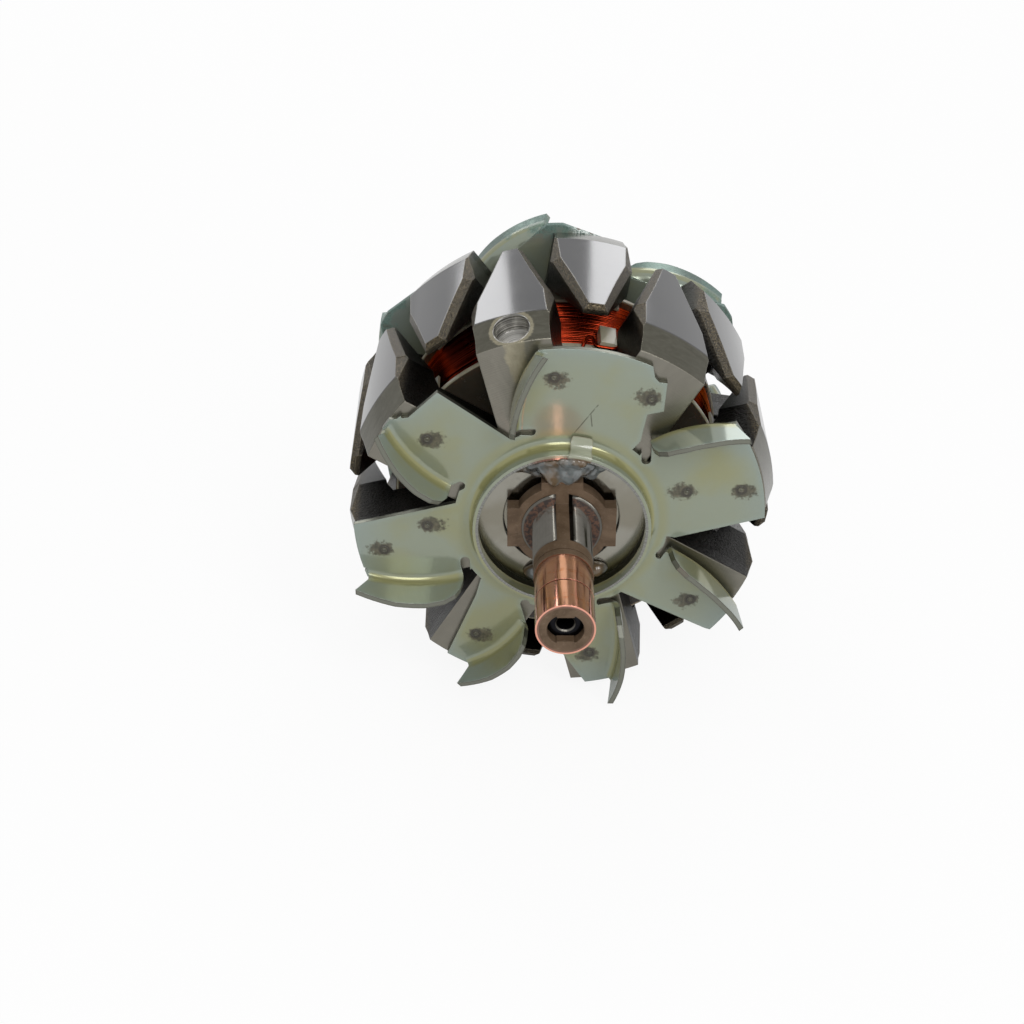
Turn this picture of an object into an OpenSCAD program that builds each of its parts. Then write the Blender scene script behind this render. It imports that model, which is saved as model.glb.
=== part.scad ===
// Alternator rotor: claw poles, field coil, two pressed fans, stepped shaft and slip rings.
// The shaft lies along Y, the slip rings point to -Y, Z is up and the origin is the middle of the
// rear bearing journal. Everything is drawn along its own spin axis, with z = 0 on the slip-ring
// side pole face, and laid down at the end.

/* [Pole halves] */
// Radius of the ground claw faces
claw_r = 55; // [50:0.5:60]
// Length of the pole body between its two end faces
body_l = 58.5; // [54:0.5:64]
// Claws on each pole half
claws = 8; // [6:1:8]
// Angle of the first slip-ring side claw, from +X towards +Z
claw_start = 13.84; // [0:0.1:45]
// How much the forged rim band narrows towards the end face
band_drop = 3; // [1:0.1:5]
// Length of the forged rim band along the axis
band_l = 9.75; // [6:0.25:12]
// Thickness of the end plate of a pole half
plate_t = 13.5; // [10:0.5:15]
// Radius of the iron core inside the coil
core_r = 26; // [22:0.5:28]
// Width of an arm on the end face
arm_w = 18.6; // [14:0.2:19]
// Width of a claw where it starts to taper, rough flanks included
root_w = 21.4; // [18:0.2:22]
// Width of the ground face at the forged rim band
face_w = 18.2; // [14:0.2:19]
// Width of the ground face where it starts to taper
face_taper_w = 17.2; // [13:0.2:18]
// Length of the ground face before the taper starts
face_l = 9; // [6:0.5:12]
// Width of the ground face at the claw tip
tip_w = 3.6; // [2.5:0.1:6]
// Thickness of the claw tip
tip_t = 2.6; // [2.3:0.1:5]
// Distance from the claw tip to the far end face
tip_back = 12.5; // [11:0.5:16]
// Width of the sloping flank beside the ground face
flank_w = 2.1; // [1:0.1:3]
// Width of the sloping flank at the claw tip
tip_flank_w = 1; // [0.6:0.1:2]
// Depth of the sloping flank
flank_d = 2.4; // [1:0.1:3.5]
// Length of the sloped nose at the claw tip
nose_l = 0.8; // [0.3:0.1:1.5]
// Depth of the sloped nose at the claw tip
nose_d = 1.3; // [0.5:0.1:2]
// Which claw of the slip-ring side carries the balance drilling, counted from the first
drilled_claw = 2; // [0:1:5]
// Diameter of the balance drilling
drill_d = 9; // [6:0.5:11]
// Depth of the balance drilling
drill_h = 4.5; // [2:0.5:6]
// Distance of the balance drilling from the end face
drill_in = 5; // [4:0.5:8]
// Radius of the shallow turned recess round the shaft on the slip-ring side face
recess_r = 14.8; // [14.2:0.1:17]
// Depth of the shallow turned recess
recess_d = 1.2; // [0.4:0.1:2]

/* [Coil] */
// Radius of the wound coil at its crown
coil_r = 42; // [38:0.5:42.5]
// How much lower the coil is at its two ends than at its crown
coil_crown = 1.2; // [0.4:0.1:2]
// Length over which the coil drops towards either end
crown_l = 7; // [4:0.5:10]
// Wall of the bobbin tube and its flanges
bobbin_t = 1.3; // [0.8:0.1:2]
// How far the bobbin flange stands above the coil crown
flange_over = 0.6; // [0.3:0.1:1]
// Thickness of the insulating flaps under the claws
flap_t = 0.7; // [0.4:0.1:0.9]
// Length of the insulating flaps along the axis
flap_l = 8; // [4:0.5:11]
// Angle that one insulating flap covers
flap_angle = 24; // [14:1:24]
// Angle of the wire post on the slip-ring side flange
post_angle = 75; // [75:0.5:80]
// Width of the wire post
post_w = 4.2; // [2.5:0.1:5]
// Length of the wire post along the axis
post_l = 8.5; // [5:0.5:10]
// Height of the wire post above the coil crown
post_h = 2.6; // [1.5:0.1:3]
// Diameter of the enamelled wire of the coil tail
wire_d = 1; // [0.7:0.1:1.2]

/* [Shaft] */
// Radius of the shaft inside the pole halves
shaft_core_r = 9; // [8.6:0.1:9.8]
// Radius of the abutment shoulder in front of the slip-ring side face
shoulder_r = 10.2; // [9.5:0.1:10.8]
// Length of the abutment shoulder
shoulder_l = 5.2; // [4.6:0.1:6]
// Radius of the rear bearing journal
journal_r = 7.5; // [7.3:0.05:8]
// Length of the rear bearing journal
journal_l = 15.3; // [12:0.1:18]
// Radius of the shaft tail inside the slip rings
tail_r = 4.45; // [4:0.05:4.8]
// Distance of the tail end face below the end of the slip rings
tail_in = 2.4; // [1:0.1:4]
// Width of the two lead grooves along the journal
groove_w = 4.2; // [3.6:0.1:5]
// Depth of the two lead grooves below the journal surface
groove_d = 2.1; // [1.5:0.1:2.6]
// Depth of the two key grooves along the tail
key_d = 1; // [0.6:0.1:1.4]
// Radius of the drive bearing and pulley seat
drive_r = 8.5; // [8:0.1:8.6]
// Length of the drive side seat, from the spacer to the thread
drive_l = 36; // [30:1:44]
// Radius of the threaded end
thread_r = 8; // [7:0.1:8]
// Length of the threaded end
thread_l = 16; // [12:1:20]
// Radius of the undercut behind the thread
undercut_r = 6.9; // [6:0.1:6.9]
// Width of the undercut behind the thread
undercut_l = 2.2; // [1:0.1:3]
// Bevel on the shaft edges
edge_bevel = 1; // [0.4:0.1:1.4]
// Radius of the mouth of the centre drillings
centre_r = 2.3; // [1.6:0.1:3]
// Outer radius of the spacer between the drive side pole face and the bearing
spacer_r = 12.4; // [11:0.1:14]
// Length of the spacer
spacer_l = 9.5; // [8:0.5:14]
// How much wider the shaft is under the spacer than at the drive side seat
spacer_seat_step = 0.25; // [0.2:0.05:0.4]

/* [Slip rings] */
// Radius of the copper rings
ring_r = 7.2; // [6.8:0.05:7.25]
// Wall of the copper rings
ring_t = 0.9; // [0.6:0.05:1.2]
// Length of one copper ring
ring_l = 10.3; // [8:0.1:12]
// Gap between the two copper rings
ring_gap = 0.4; // [0.3:0.1:1]
// Length of the resin sleeve between the journal and the copper
sleeve_l = 6.1; // [4:0.1:8]
// Radius of the resin sleeve behind the copper
sleeve_r = 7.4; // [7.37:0.01:7.45]
// Width of the thin groove round the resin sleeve
sleeve_groove_w = 0.5; // [0.3:0.1:1]
// Depth of the thin groove round the resin sleeve
sleeve_groove_d = 0.5; // [0.3:0.1:0.8]
// Width of the two resin ribs in the lead grooves
rib_w = 3.3; // [2.5:0.1:3.5]
// How far the ribs stay below the journal surface
rib_low = 0.15; // [0.05:0.05:0.4]
// Outer radius of the resin collar
collar_r = 12.3; // [11.8:0.1:13]
// Front of the resin collar, measured from the pole face
collar_top = 4.5; // [3.8:0.1:4.55]
// Underside of the resin collar, measured from the pole face
collar_low = 0.6; // [0.2:0.1:1.5]
// Half length of the collar across its two side ears
ear_r = 13.8; // [13.2:0.1:14.1]
// Height of the two side ears
ear_h = 11.6; // [8:0.2:13]
// Width of the top and bottom ears
ear_w = 10.5; // [8:0.2:11]
// Radius reached by the top and bottom ears
ear_top = 13.4; // [13:0.1:14.1]

/* [Rear fan] */
// Radius of the widest petal of the slip-ring side fan
fan_r = 53; // [51:0.5:54.5]
// Thickness of the fan sheet
sheet_t = 1.4; // [1:0.1:1.8]
// Inner radius of the drawn fan collar
hub_r = 21.2; // [19:0.1:22]
// Height of the drawn fan collar above the pole face
hub_h = 6.2; // [4:0.1:8]
// Inside bend radius of the fan sheet
bend_r = 2; // [1:0.1:2.5]
// Radius of the closed ring of sheet that carries the petals
web_r = 27.4; // [27:0.1:28.4]
// Width of the slots that free the blades
slot_w = 2.4; // [1.8:0.1:3]
// Height of a blade at the rim
blade_rim_h = 9.4; // [7:0.1:12]
// Height of a blade at its crest
blade_top_h = 12; // [9:0.1:14]
// How far the top corner of a blade leans out beyond its foot
blade_out = 2.6; // [0:0.1:3]
// How far a blade bows out between its two ends
blade_bow = 1.8; // [0.8:0.1:3]

/* [Front fan] */
// Radius of the petals of the drive side fan
front_r = 54.2; // [51:0.1:54.8]
// Number of blades of the drive side fan
front_blades = 6; // [5:1:6]
// Height of a front blade at the rim
front_rim_h = 7.5; // [6:0.1:12]
// Height of a front blade at its crest
front_top_h = 8.2; // [7:0.1:13]
// How far a front blade bows out between its two ends
front_bow = 3; // [2:0.1:3.2]
// How far the top corner of a front blade leans out beyond its foot
front_out = 0.4; // [0:0.1:1]
// Angle of the rim end of the first front blade, from +X towards +Z
front_start = 33.5; // [0:0.5:59]
// Angle from the rim end to the inner end of a front blade
front_sweep = 31.5; // [28:0.5:32]
// Radius of the inner end of a front blade
front_in = 43; // [41:0.5:44]
// Rim width of a front petal, in degrees
front_span = 19.5; // [16:0.5:20]
// How much the rim of a front petal falls back towards its free corner
front_fall = 3.2; // [1:0.1:4]

/* [Terminals] */
// Width of a copper lug
lug_w = 4.4; // [3:0.1:5]
// Thickness of a copper lug
lug_t = 0.8; // [0.5:0.1:1]
// Height of a copper lug above the pole face
lug_h = 5; // [3.8:0.1:5.5]
// Depth of the fold at the top of a copper lug
lug_fold = 1.9; // [1.6:0.1:2.2]

/* [Resin] */
// Radius of the two round resin dabs in the fan collar
dab_r = 2.9; // [2:0.1:3.2]
// Height of the round resin dabs
dab_h = 1.7; // [0.8:0.1:2]
// Angle of the left dab, from +X towards +Z
left_dab_angle = 247; // [225:1:255]
// Angle of the right dab, from +X towards +Z
right_dab_angle = 301; // [288:1:320]
// Distance of the dabs from the fan collar
dab_gap = 0.2; // [0.1:0.1:1]
// Height of the resin patches above the pole face
patch_h = 3.2; // [2.4:0.1:4]
// Distance of the patches from the fan collar
patch_gap = 1; // [0.5:0.1:2]
// Reach of the top patch to the left of the lead
top_left_w = 9.5; // [5:0.1:11]
// Reach of the top patch to the right of the lead
top_right_w = 8; // [5:0.1:11]
// Reach of the bottom patch to either side of the lead
bottom_w = 6; // [4:0.1:9]

/* [Hidden] */
// Rim angle of each blade foot of the slip-ring side fan, unevenly spaced to break the tone
blade_at = [33.9, 97.2, 148.6, 199.2, 242.4, 285.9, 330.2];
// Angle from the rim end to the inner end of each blade foot
blade_sweep = [14, 17.8, 13, 15.8, 12.5, 14.4, 13.6];
// Radius of the inner end of each blade foot, as a share of the fan radius
blade_in = [0.608, 0.562, 0.57, 0.574, 0.632, 0.551, 0.545];
// Rim radius of each petal, as a share of the fan radius
petal_rim = [0.975, 0.94, 0.987, 1, 0.977, 0.992, 0.992];
// Free edge of each petal from the web to the rim: share of the fan radius and angle of each corner;
// corners beyond the rim are cut back to it
petal_edge = [
  [[0.5, -10.1], [0.557, -10.1], [1.026, 1.7], [1.1, 18]],
  [[0.5, 50.8], [0.575, 50.8], [0.709, 56.5], [0.766, 52.5], [0.896, 57.8], [0.881, 60.1],
   [0.894, 62.1], [0.98, 66], [1.08, 81]],
  [[0.5, 117.2], [0.723, 125.5], [0.919, 129.4], [0.923, 141.4]],
  [[0.5, 167.8], [1.04, 181.8], [1.08, 188], [1.04, 194], [0.985, 196.6]],
  [[0.5, 221.3], [0.521, 221.3], [0.604, 226.6], [1.04, 235.7]],
  [[0.5, 265.4], [0.808, 271.4], [1.04, 278.9], [1.05, 282.6]],
  [[0.508, 304.9], [0.966, 318.3], [1.04, 320], [1.06, 324.6]]];
// Angle from the rim end of each blade foot to the round end of its slot
slot_back = [7.1, 9.4, 9, 7.6, 8.2, 6.9, 7.2];
// Angles of the free edge of a front petal at the web and at the rim, before its blade foot
front_web_angle = 23;
// Side profile of a blade behind its rim corner: share of its length and of its crest height
blade_profile = [[0.3, 0.967], [0.6, 1], [0.81, 0.93], [0.917, 0.78], [0.965, 0.58], [0.99, 0.33]];
// How far two pieces of the same sheet run into each other
lap = 1.2;
// How far the petals reach into the closed ring of sheet
web_lap = 0.8;
// How far the foot of a blade starts behind the rim
foot_in = 0.3;
round_fn = 96;
small_fn = 48;
eps = 0.01;
step = 360 / claws;
front_face = -body_l;
tip_z = -(body_l - tip_back);
band_r = claw_r - band_drop;
coil_a = plate_t + bobbin_t;
coil_b = body_l - plate_t - bobbin_t;
tube_r = core_r + bobbin_t;
flange_r = coil_r + flange_over;
under_r = flange_r + flap_t + 0.3;
journal_z = shoulder_l + journal_l;
sleeve_z = journal_z + sleeve_l;
rings_z = sleeve_z + 2 * ring_l + ring_gap;
knee_r = hub_r + sheet_t + bend_r;
origin_z = shoulder_l + journal_l / 2;
rib_r = sqrt(pow(journal_r - rib_low, 2) - pow(rib_w / 2, 2));
groove_r = journal_r - groove_d;
spacer_end = front_face - spacer_l;
spacer_seat_r = drive_r + spacer_seat_step;
drive_z = spacer_end - drive_l;
shaft_end = drive_z - thread_l;

function at(r, t) = [r * cos(t), r * sin(t)];

// Lays a piece down so that its spin axis runs along Y.
module lay() rotate([90, 0, 0]) translate([0, 0, -origin_z]) children();

// Cross-section of a pole half on one side of its axis: plate, core, and claw with tapering underside.
module pole_section(recess) polygon(concat(
  recess ? [[shaft_core_r, -recess_d], [recess_r, -recess_d], [recess_r, 0]] : [[shaft_core_r, 0]],
  [[band_r, 0], [claw_r, -band_l], [claw_r, tip_z + nose_l], [claw_r - nose_d, tip_z],
   [claw_r - tip_t, tip_z], [under_r + 1.6, -plate_t - 3], [under_r, -plate_t],
   [core_r, -plate_t], [core_r, -body_l / 2], [shaft_core_r, -body_l / 2]]));

// Outline of an arm and its claw seen along the radius.
module claw_outline() polygon([
  [arm_w / 2, 1], [arm_w / 2, -band_l / 2], [root_w / 2, -band_l - face_l],
  [tip_w / 2 + tip_flank_w, tip_z - 1], [-tip_w / 2 - tip_flank_w, tip_z - 1],
  [-root_w / 2, -band_l - face_l], [-arm_w / 2, -band_l / 2], [-arm_w / 2, 1]]);

// Wedge that cuts one sloping flank, from half width w0 at z0 to half width w1 at z1.
module flank_cut(w0, z0, w1, z1) {
  lean = atan2(w0 - w1, z0 - z1);
  run = sqrt(pow(w0 - w1, 2) + pow(z0 - z1, 2));
  mid = (w0 + w1) / 2;
  translate([sqrt(claw_r * claw_r - mid * mid), w0, z0])
    rotate([-lean, 0, 0])
      rotate([180, 0, 90])
        translate([0, 0, -1.5])
          linear_extrude(run + 3)
            polygon([[0, 0], [3 * flank_w, -3 * flank_d], [3 * flank_w, 4], [0, 4]]);
}

module both_sides() {
  children();
  mirror([0, 1, 0]) children();
}

// One forged pole half with claws pointing to -z, first claw on the x axis.
module pole_half(recess, drilled) {
  difference() {
    intersection() {
      rotate_extrude($fn = round_fn) pole_section(recess);
      union() {
        translate([0, 0, -body_l]) cylinder(r = core_r, h = body_l + 1, $fn = round_fn);
        for (i = [0:claws - 1])
          rotate([0, 0, i * step])
            rotate([90, 0, 90])
              linear_extrude(claw_r + 1) claw_outline();
      }
    }
    for (i = [0:claws - 1])
      rotate([0, 0, i * step])
        both_sides() {
          flank_cut(face_taper_w / 2, -band_l - face_l, tip_w / 2, tip_z);
          flank_cut(face_w / 2, -band_l, face_taper_w / 2, -band_l - face_l);
        }
    if (drilled)
      rotate([0, 0, drilled_claw * step])
        translate([claw_r - drill_h, 0, -drill_in])
          rotate([0, 90, 0]) {
            cylinder(d = drill_d, h = drill_h + 1, $fn = small_fn);
            translate([0, 0, -drill_d / 4]) cylinder(r1 = 0, r2 = drill_d / 2, h = drill_d / 4 + eps, $fn = small_fn);
          }
  }
}

module rear_pole_half() color("dimgray") lay() rotate([0, 0, claw_start]) pole_half(true, true);

module front_pole_half() color("dimgray") lay()
  rotate([0, 0, claw_start + step / 2])
    translate([0, 0, front_face])
      rotate([180, 0, 0])
        pole_half(false, false);

// Moulded bobbin: tube, two flanges, and insulating flaps under the claws.
module bobbin() color("ivory") lay() {
  rotate_extrude($fn = round_fn) polygon([
    [core_r, -plate_t], [flange_r, -plate_t], [flange_r, -coil_a], [tube_r, -coil_a],
    [tube_r, -coil_b], [flange_r, -coil_b], [flange_r, plate_t - body_l], [core_r, plate_t - body_l]]);
  for (i = [0:claws - 1]) {
    rotate([0, 0, claw_start + i * step - flap_angle / 2]) flap(-plate_t - flap_l);
    rotate([0, 0, claw_start + (i + 0.5) * step - flap_angle / 2]) flap(plate_t - body_l);
  }
  rotate([0, 0, post_angle]) {
    translate([coil_r + 0.15, -post_w / 2, -plate_t - post_l]) cube([post_h, post_w, post_l]);
    translate([flange_r - bobbin_t, -post_w / 2, -coil_a + eps]) cube([bobbin_t, post_w, bobbin_t / 2]);
  }
}

// One insulating flap, starting at z = low.
module flap(low) translate([0, 0, low])
  rotate_extrude(angle = flap_angle, $fn = round_fn)
    translate([flange_r - flap_t / 4, 0]) square([flap_t, flap_l]);

// Section of the wound coil with a crowned outer face.
module coil_section() polygon([
  [tube_r, -coil_a], [coil_r - coil_crown, -coil_a], [coil_r - coil_crown / 4, -coil_a - crown_l / 2],
  [coil_r, -coil_a - crown_l], [coil_r, -coil_b + crown_l], [coil_r - coil_crown / 4, -coil_b + crown_l / 2],
  [coil_r - coil_crown, -coil_b], [tube_r, -coil_b]]);

module field_coil() color("darkred") lay() rotate_extrude($fn = round_fn) coil_section();

// The end of the coil wire looped round the post.
module coil_tail() color("orangered") lay()
  rotate([0, 0, post_angle])
    translate([flange_r + wire_d / 2, 0, -plate_t - post_l + 2])
      rotate([0, 90, 0])
        rotate([0, 0, 90])
          rotate_extrude(angle = 180, $fn = small_fn)
            translate([post_w / 2 + wire_d / 2, 0]) circle(d = wire_d, $fn = 24);

// Section of the drawn fan collar and the ring of sheet round it.
module hub_section() difference() {
  union() {
    translate([hub_r, 0]) square([knee_r - hub_r, bend_r + sheet_t]);
    translate([hub_r, bend_r]) square([sheet_t, hub_h - bend_r]);
    translate([knee_r - eps, 0]) square([lap, sheet_t]);
  }
  outer_bend(knee_r);
}

// What a bend leaves free: the inside circle, and the corner outside the outer circle.
module outer_bend(x) {
  translate([x, bend_r + sheet_t]) circle(r = bend_r, $fn = small_fn);
  difference() {
    translate([x - bend_r - sheet_t - eps, -eps]) square([bend_r + sheet_t + eps, bend_r + sheet_t + eps]);
    translate([x, bend_r + sheet_t]) circle(r = bend_r + sheet_t, $fn = small_fn);
  }
}

// Flat sheet of one petal, before its blade is bent up; edge lists the corners of its free side.
module petal(rim, t, sweep, r_in, edge) intersection() {
  circle(r = rim, $fn = round_fn);
  polygon(concat([at(knee_r, t + sweep - 4), at(knee_r, edge[0][1])], [for (e = edge) at(e[0], e[1])],
    [1.12 * at(rim, t) - 0.12 * at(r_in, t + sweep), at(r_in, t + sweep), at(web_r - web_lap, t + sweep - 3)]));
}

// One curved blade standing on the sheet, with a bent foot, cut to its side profile.
module blade(rim, t, sweep, r_in, bow, rim_h, top_h, out) {
  p = at(rim, t);
  q = at(r_in, t + sweep);
  run = norm(q - p);
  arc_r = (run * run / 4 + bow * bow) / (2 * bow);
  half = asin(run / 2 / arc_r);
  more = asin(out / arc_r) + 2;
  translate([p[0], p[1], 0])
    rotate([0, 0, atan2(q[1] - p[1], q[0] - p[0])])
      intersection() {
        translate([run / 2, arc_r - bow, 0])
          rotate([0, 0, -90 - half - more])
            rotate_extrude(angle = 2 * half + more, $fn = 180)
              translate([arc_r, 0]) bent_section(top_h, bow);
        rotate([90, 0, 0])
          translate([0, 0, -run])
            linear_extrude(2 * run)
              polygon(concat([[foot_in, -1], [foot_in, sheet_t + bend_r], [-out, rim_h]],
                [for (e = blade_profile) [e[0] * run, e[1] * top_h]], [[blade_profile[5][0] * run, -1]]));
      }
}

// Section of the bent sheet: foot strip, bend, and standing wall; x = 0 is the middle of the wall.
module bent_section(h, bow) {
  wall = sheet_t / 2;
  difference() {
    union() {
      translate([-wall - bend_r, 0]) square([bend_r + sheet_t, bend_r + sheet_t]);
      translate([-wall, bend_r]) square([sheet_t, h]);
      translate([-wall - bend_r - bow - lap, 0]) square([bow + lap + eps, sheet_t]);
    }
    mirror([1, 0]) outer_bend(wall + bend_r);
  }
}

// The round-ended relief slot at the inner end of a blade.
module relief(t, sweep, back, r_in) {
  a = at(web_r + slot_w / 8, t + back);
  b = at(r_in + sheet_t / 4, t + sweep + 2.2);
  for (p = [a, b]) translate(p) circle(d = slot_w, $fn = small_fn);
  translate(a)
    rotate([0, 0, atan2(b[1] - a[1], b[0] - a[0])])
      translate([0, -slot_w / 2]) square([norm(b - a), slot_w]);
}

module rear_fan() color("darkseagreen") lay() {
  rotate_extrude($fn = round_fn) hub_section();
  linear_extrude(sheet_t) difference() {
    union() {
      circle(r = web_r, $fn = round_fn);
      for (i = [0:len(blade_at) - 1])
        petal(fan_r * petal_rim[i], blade_at[i], blade_sweep[i], fan_r * blade_in[i],
          [for (e = petal_edge[i]) [fan_r * e[0], e[1]]]);
    }
    circle(r = knee_r + lap / 2, $fn = round_fn);
    for (i = [0:len(blade_at) - 1]) relief(blade_at[i], blade_sweep[i], slot_back[i], fan_r * blade_in[i]);
  }
  for (i = [0:len(blade_at) - 1])
    blade(fan_r * petal_rim[i], blade_at[i], blade_sweep[i], fan_r * blade_in[i],
      blade_bow, blade_rim_h, blade_top_h, blade_out);
}

// The drive side fan turns its blades away from the poles.
module front_fan() color("darkseagreen") lay()
  translate([0, 0, front_face])
    mirror([0, 0, 1]) {
      rotate_extrude($fn = round_fn) hub_section();
      linear_extrude(sheet_t) difference() {
        union() {
          circle(r = web_r, $fn = round_fn);
          front_turns() petal(front_r, 0, front_sweep, front_in,
            [[web_r - web_lap, -front_web_angle], [front_r - front_fall, -front_span], [front_r + web_lap, -slot_w]]);
        }
        circle(r = knee_r + lap / 2, $fn = round_fn);
        front_turns() relief(0, front_sweep, front_sweep + slot_w, front_in);
      }
      front_turns() blade(front_r - web_lap, 0, front_sweep, front_in, front_bow, front_rim_h, front_top_h, front_out);
    }

module front_turns() for (i = [0:front_blades - 1])
  rotate([0, 0, front_start + i * 360 / front_blades]) children();

// Cross-section of the two lead grooves; the ribs sit against one wall of each.
module grooves(w, low, high, shift) for (a = [0, 180])
  rotate([0, 0, a])
    translate([-rib_w / 2, low]) square([w, high - low + shift]);

// Stepped shaft with lead grooves, key grooves and centre drillings.
module shaft() color("silver") lay() difference() {
  rotate_extrude($fn = round_fn) polygon([
    [0, rings_z - tail_in], [tail_r - edge_bevel / 3, rings_z - tail_in], [tail_r, rings_z - tail_in - edge_bevel / 3],
    [tail_r, journal_z], [journal_r - edge_bevel / 3, journal_z], [journal_r, journal_z - edge_bevel / 3],
    [journal_r, shoulder_l], [shoulder_r - edge_bevel / 2, shoulder_l], [shoulder_r, shoulder_l - edge_bevel / 2],
    [shoulder_r, -recess_d], [shaft_core_r, -recess_d], [shaft_core_r, front_face],
    [spacer_seat_r, front_face], [spacer_seat_r, spacer_end], [drive_r, spacer_end], [drive_r, drive_z + edge_bevel / 2],
    [drive_r - edge_bevel / 2, drive_z], [undercut_r, drive_z], [undercut_r, drive_z - undercut_l],
    [thread_r - edge_bevel / 2, drive_z - undercut_l], [thread_r, drive_z - undercut_l - edge_bevel / 2],
    [thread_r, shaft_end + edge_bevel], [thread_r - edge_bevel, shaft_end], [0, shaft_end]]);
  translate([0, 0, collar_low]) linear_extrude(journal_z) grooves(groove_w, groove_r, shoulder_r, 1);
  translate([0, 0, journal_z]) linear_extrude(rings_z) keys(1);
  for (z = [rings_z - tail_in, shaft_end])
    translate([0, 0, z]) {
      cylinder(r = centre_r / 2, h = 6 * centre_r, center = true, $fn = small_fn);
      mirror([0, 0, z > 0 ? 1 : 0]) cylinder(r1 = centre_r, r2 = centre_r / 2, h = centre_r, $fn = small_fn);
    }
}

// The two moulded keys that sit in the tail.
module keys(over) for (a = [0, 180])
  rotate([0, 0, a])
    translate([-groove_w / 2, tail_r - key_d]) square([groove_w, key_d + over]);

// Resin moulding: sleeve under the rings, ribs along the journal, and the eared collar.
module slip_ring_moulding() color("rosybrown") lay() {
  difference() {
    translate([0, 0, journal_z]) rotate_extrude($fn = round_fn) polygon([
      [0, 0], [sleeve_r - 0.3, 0], [sleeve_r, 0.3],
      [sleeve_r, sleeve_l * 0.6], [sleeve_r - sleeve_groove_d, sleeve_l * 0.6],
      [sleeve_r - sleeve_groove_d, sleeve_l * 0.6 + sleeve_groove_w], [sleeve_r, sleeve_l * 0.6 + sleeve_groove_w],
      [sleeve_r, sleeve_l], [ring_r - ring_t, sleeve_l],
      [ring_r - ring_t, sleeve_l + ring_l], [ring_r - ring_t / 2, sleeve_l + ring_l],
      [ring_r - ring_t / 2, sleeve_l + ring_l + ring_gap], [ring_r - ring_t, sleeve_l + ring_l + ring_gap],
      [ring_r - ring_t, rings_z - journal_z], [0, rings_z - journal_z]]);
    translate([0, 0, journal_z - 1]) linear_extrude(rings_z) difference() {
      circle(r = tail_r, $fn = round_fn);
      keys(1);
    }
  }
  translate([0, 0, collar_low]) linear_extrude(journal_z + eps - collar_low) grooves(rib_w, groove_r, rib_r, 0);
  difference() {
    translate([0, 0, collar_low]) linear_extrude(collar_top - collar_low) {
      circle(r = collar_r, $fn = round_fn);
      square([2 * ear_r, ear_h], center = true);
      square([ear_w, 2 * ear_top], center = true);
    }
    difference() {
      cylinder(r = shoulder_r, h = collar_top + 1, $fn = round_fn);
      linear_extrude(3 * collar_top, center = true) grooves(rib_w, groove_r, shoulder_r, 1);
    }
    cylinder(r = groove_r, h = collar_top + 1, $fn = round_fn);
  }
}

module copper_ring(z) translate([0, 0, z]) rotate_extrude($fn = round_fn)
  translate([ring_r - ring_t, 0]) square([ring_t, ring_l]);

module inner_slip_ring() color("peru") lay() copper_ring(sleeve_z);

module outer_slip_ring() color("peru") lay() copper_ring(sleeve_z + ring_l + ring_gap);

module drive_spacer() color("gray") lay() rotate_extrude($fn = round_fn) polygon([
  [spacer_seat_r, front_face], [spacer_r - edge_bevel / 2, front_face], [spacer_r, front_face - edge_bevel / 2],
  [spacer_r, spacer_end + edge_bevel / 2], [spacer_r - edge_bevel / 2, spacer_end], [spacer_seat_r, spacer_end]]);

// A low round dab lying on the pole face at angle t.
module dab(t) color("slategray") lay() {
  ball = (dab_r * dab_r + dab_h * dab_h) / (2 * dab_h);
  rotate([0, 0, t])
    translate([hub_r - dab_r - dab_gap, 0, dab_h - ball])
      intersection() {
        sphere(r = ball, $fn = small_fn);
        translate([0, 0, ball - dab_h + dab_r]) cube(2 * dab_r, center = true);
      }
}

// The folded copper lug at the end of one lead, standing on the pole face against an ear.
module terminal() color("peru") lay() translate([-lug_w / 2, ear_top, 0]) {
  cube([lug_w, lug_t, lug_h]);
  translate([0, 0, lug_h - lug_t]) cube([lug_w, lug_fold, lug_t]);
  translate([0, lug_fold - lug_t / 2, lug_h - 2 * lug_t]) cube([lug_w, lug_t / 2, 2 * lug_t]);
}

module top_terminal() terminal();

module bottom_terminal() rotate([0, 180, 0]) terminal();

module left_resin_dab() dab(left_dab_angle);

module right_resin_dab() dab(right_dab_angle);

// A resin patch that bridges an ear and the fan collar, leaving the copper lug free.
module patch(left, right) color("slategray") lay() {
  ring_in = ear_top;
  ring_out = hub_r - patch_gap;
  difference() {
    intersection() {
      rotate_extrude($fn = round_fn) polygon([[ring_in, 0], [ring_out, 0], [ring_out, patch_h / 2],
        [ring_out - patch_h / 2, patch_h * 0.8], [ring_in + patch_h / 2, patch_h], [ring_in, patch_h * 0.9]]);
      translate([-left, 0, -1]) cube([left + right, ring_out + 1, patch_h + 2]);
    }
    translate([-lug_w / 2, 0, -1]) cube([lug_w, ring_in + lug_fold, patch_h + 2]);
  }
}

module top_resin_patch() patch(top_left_w, top_right_w);

module bottom_resin_patch() rotate([0, 180, 0]) patch(bottom_w, bottom_w);

shaft();
rear_pole_half();
front_pole_half();
bobbin();
field_coil();
coil_tail();
rear_fan();
front_fan();
slip_ring_moulding();
outer_slip_ring();
inner_slip_ring();
drive_spacer();
top_terminal();
bottom_terminal();
top_resin_patch();
bottom_resin_patch();
left_resin_dab();
right_resin_dab();
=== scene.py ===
"""Looks of a claw-pole alternator rotor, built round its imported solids."""

import math
import random
from collections import namedtuple

import bpy
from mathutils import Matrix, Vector, noise


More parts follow.
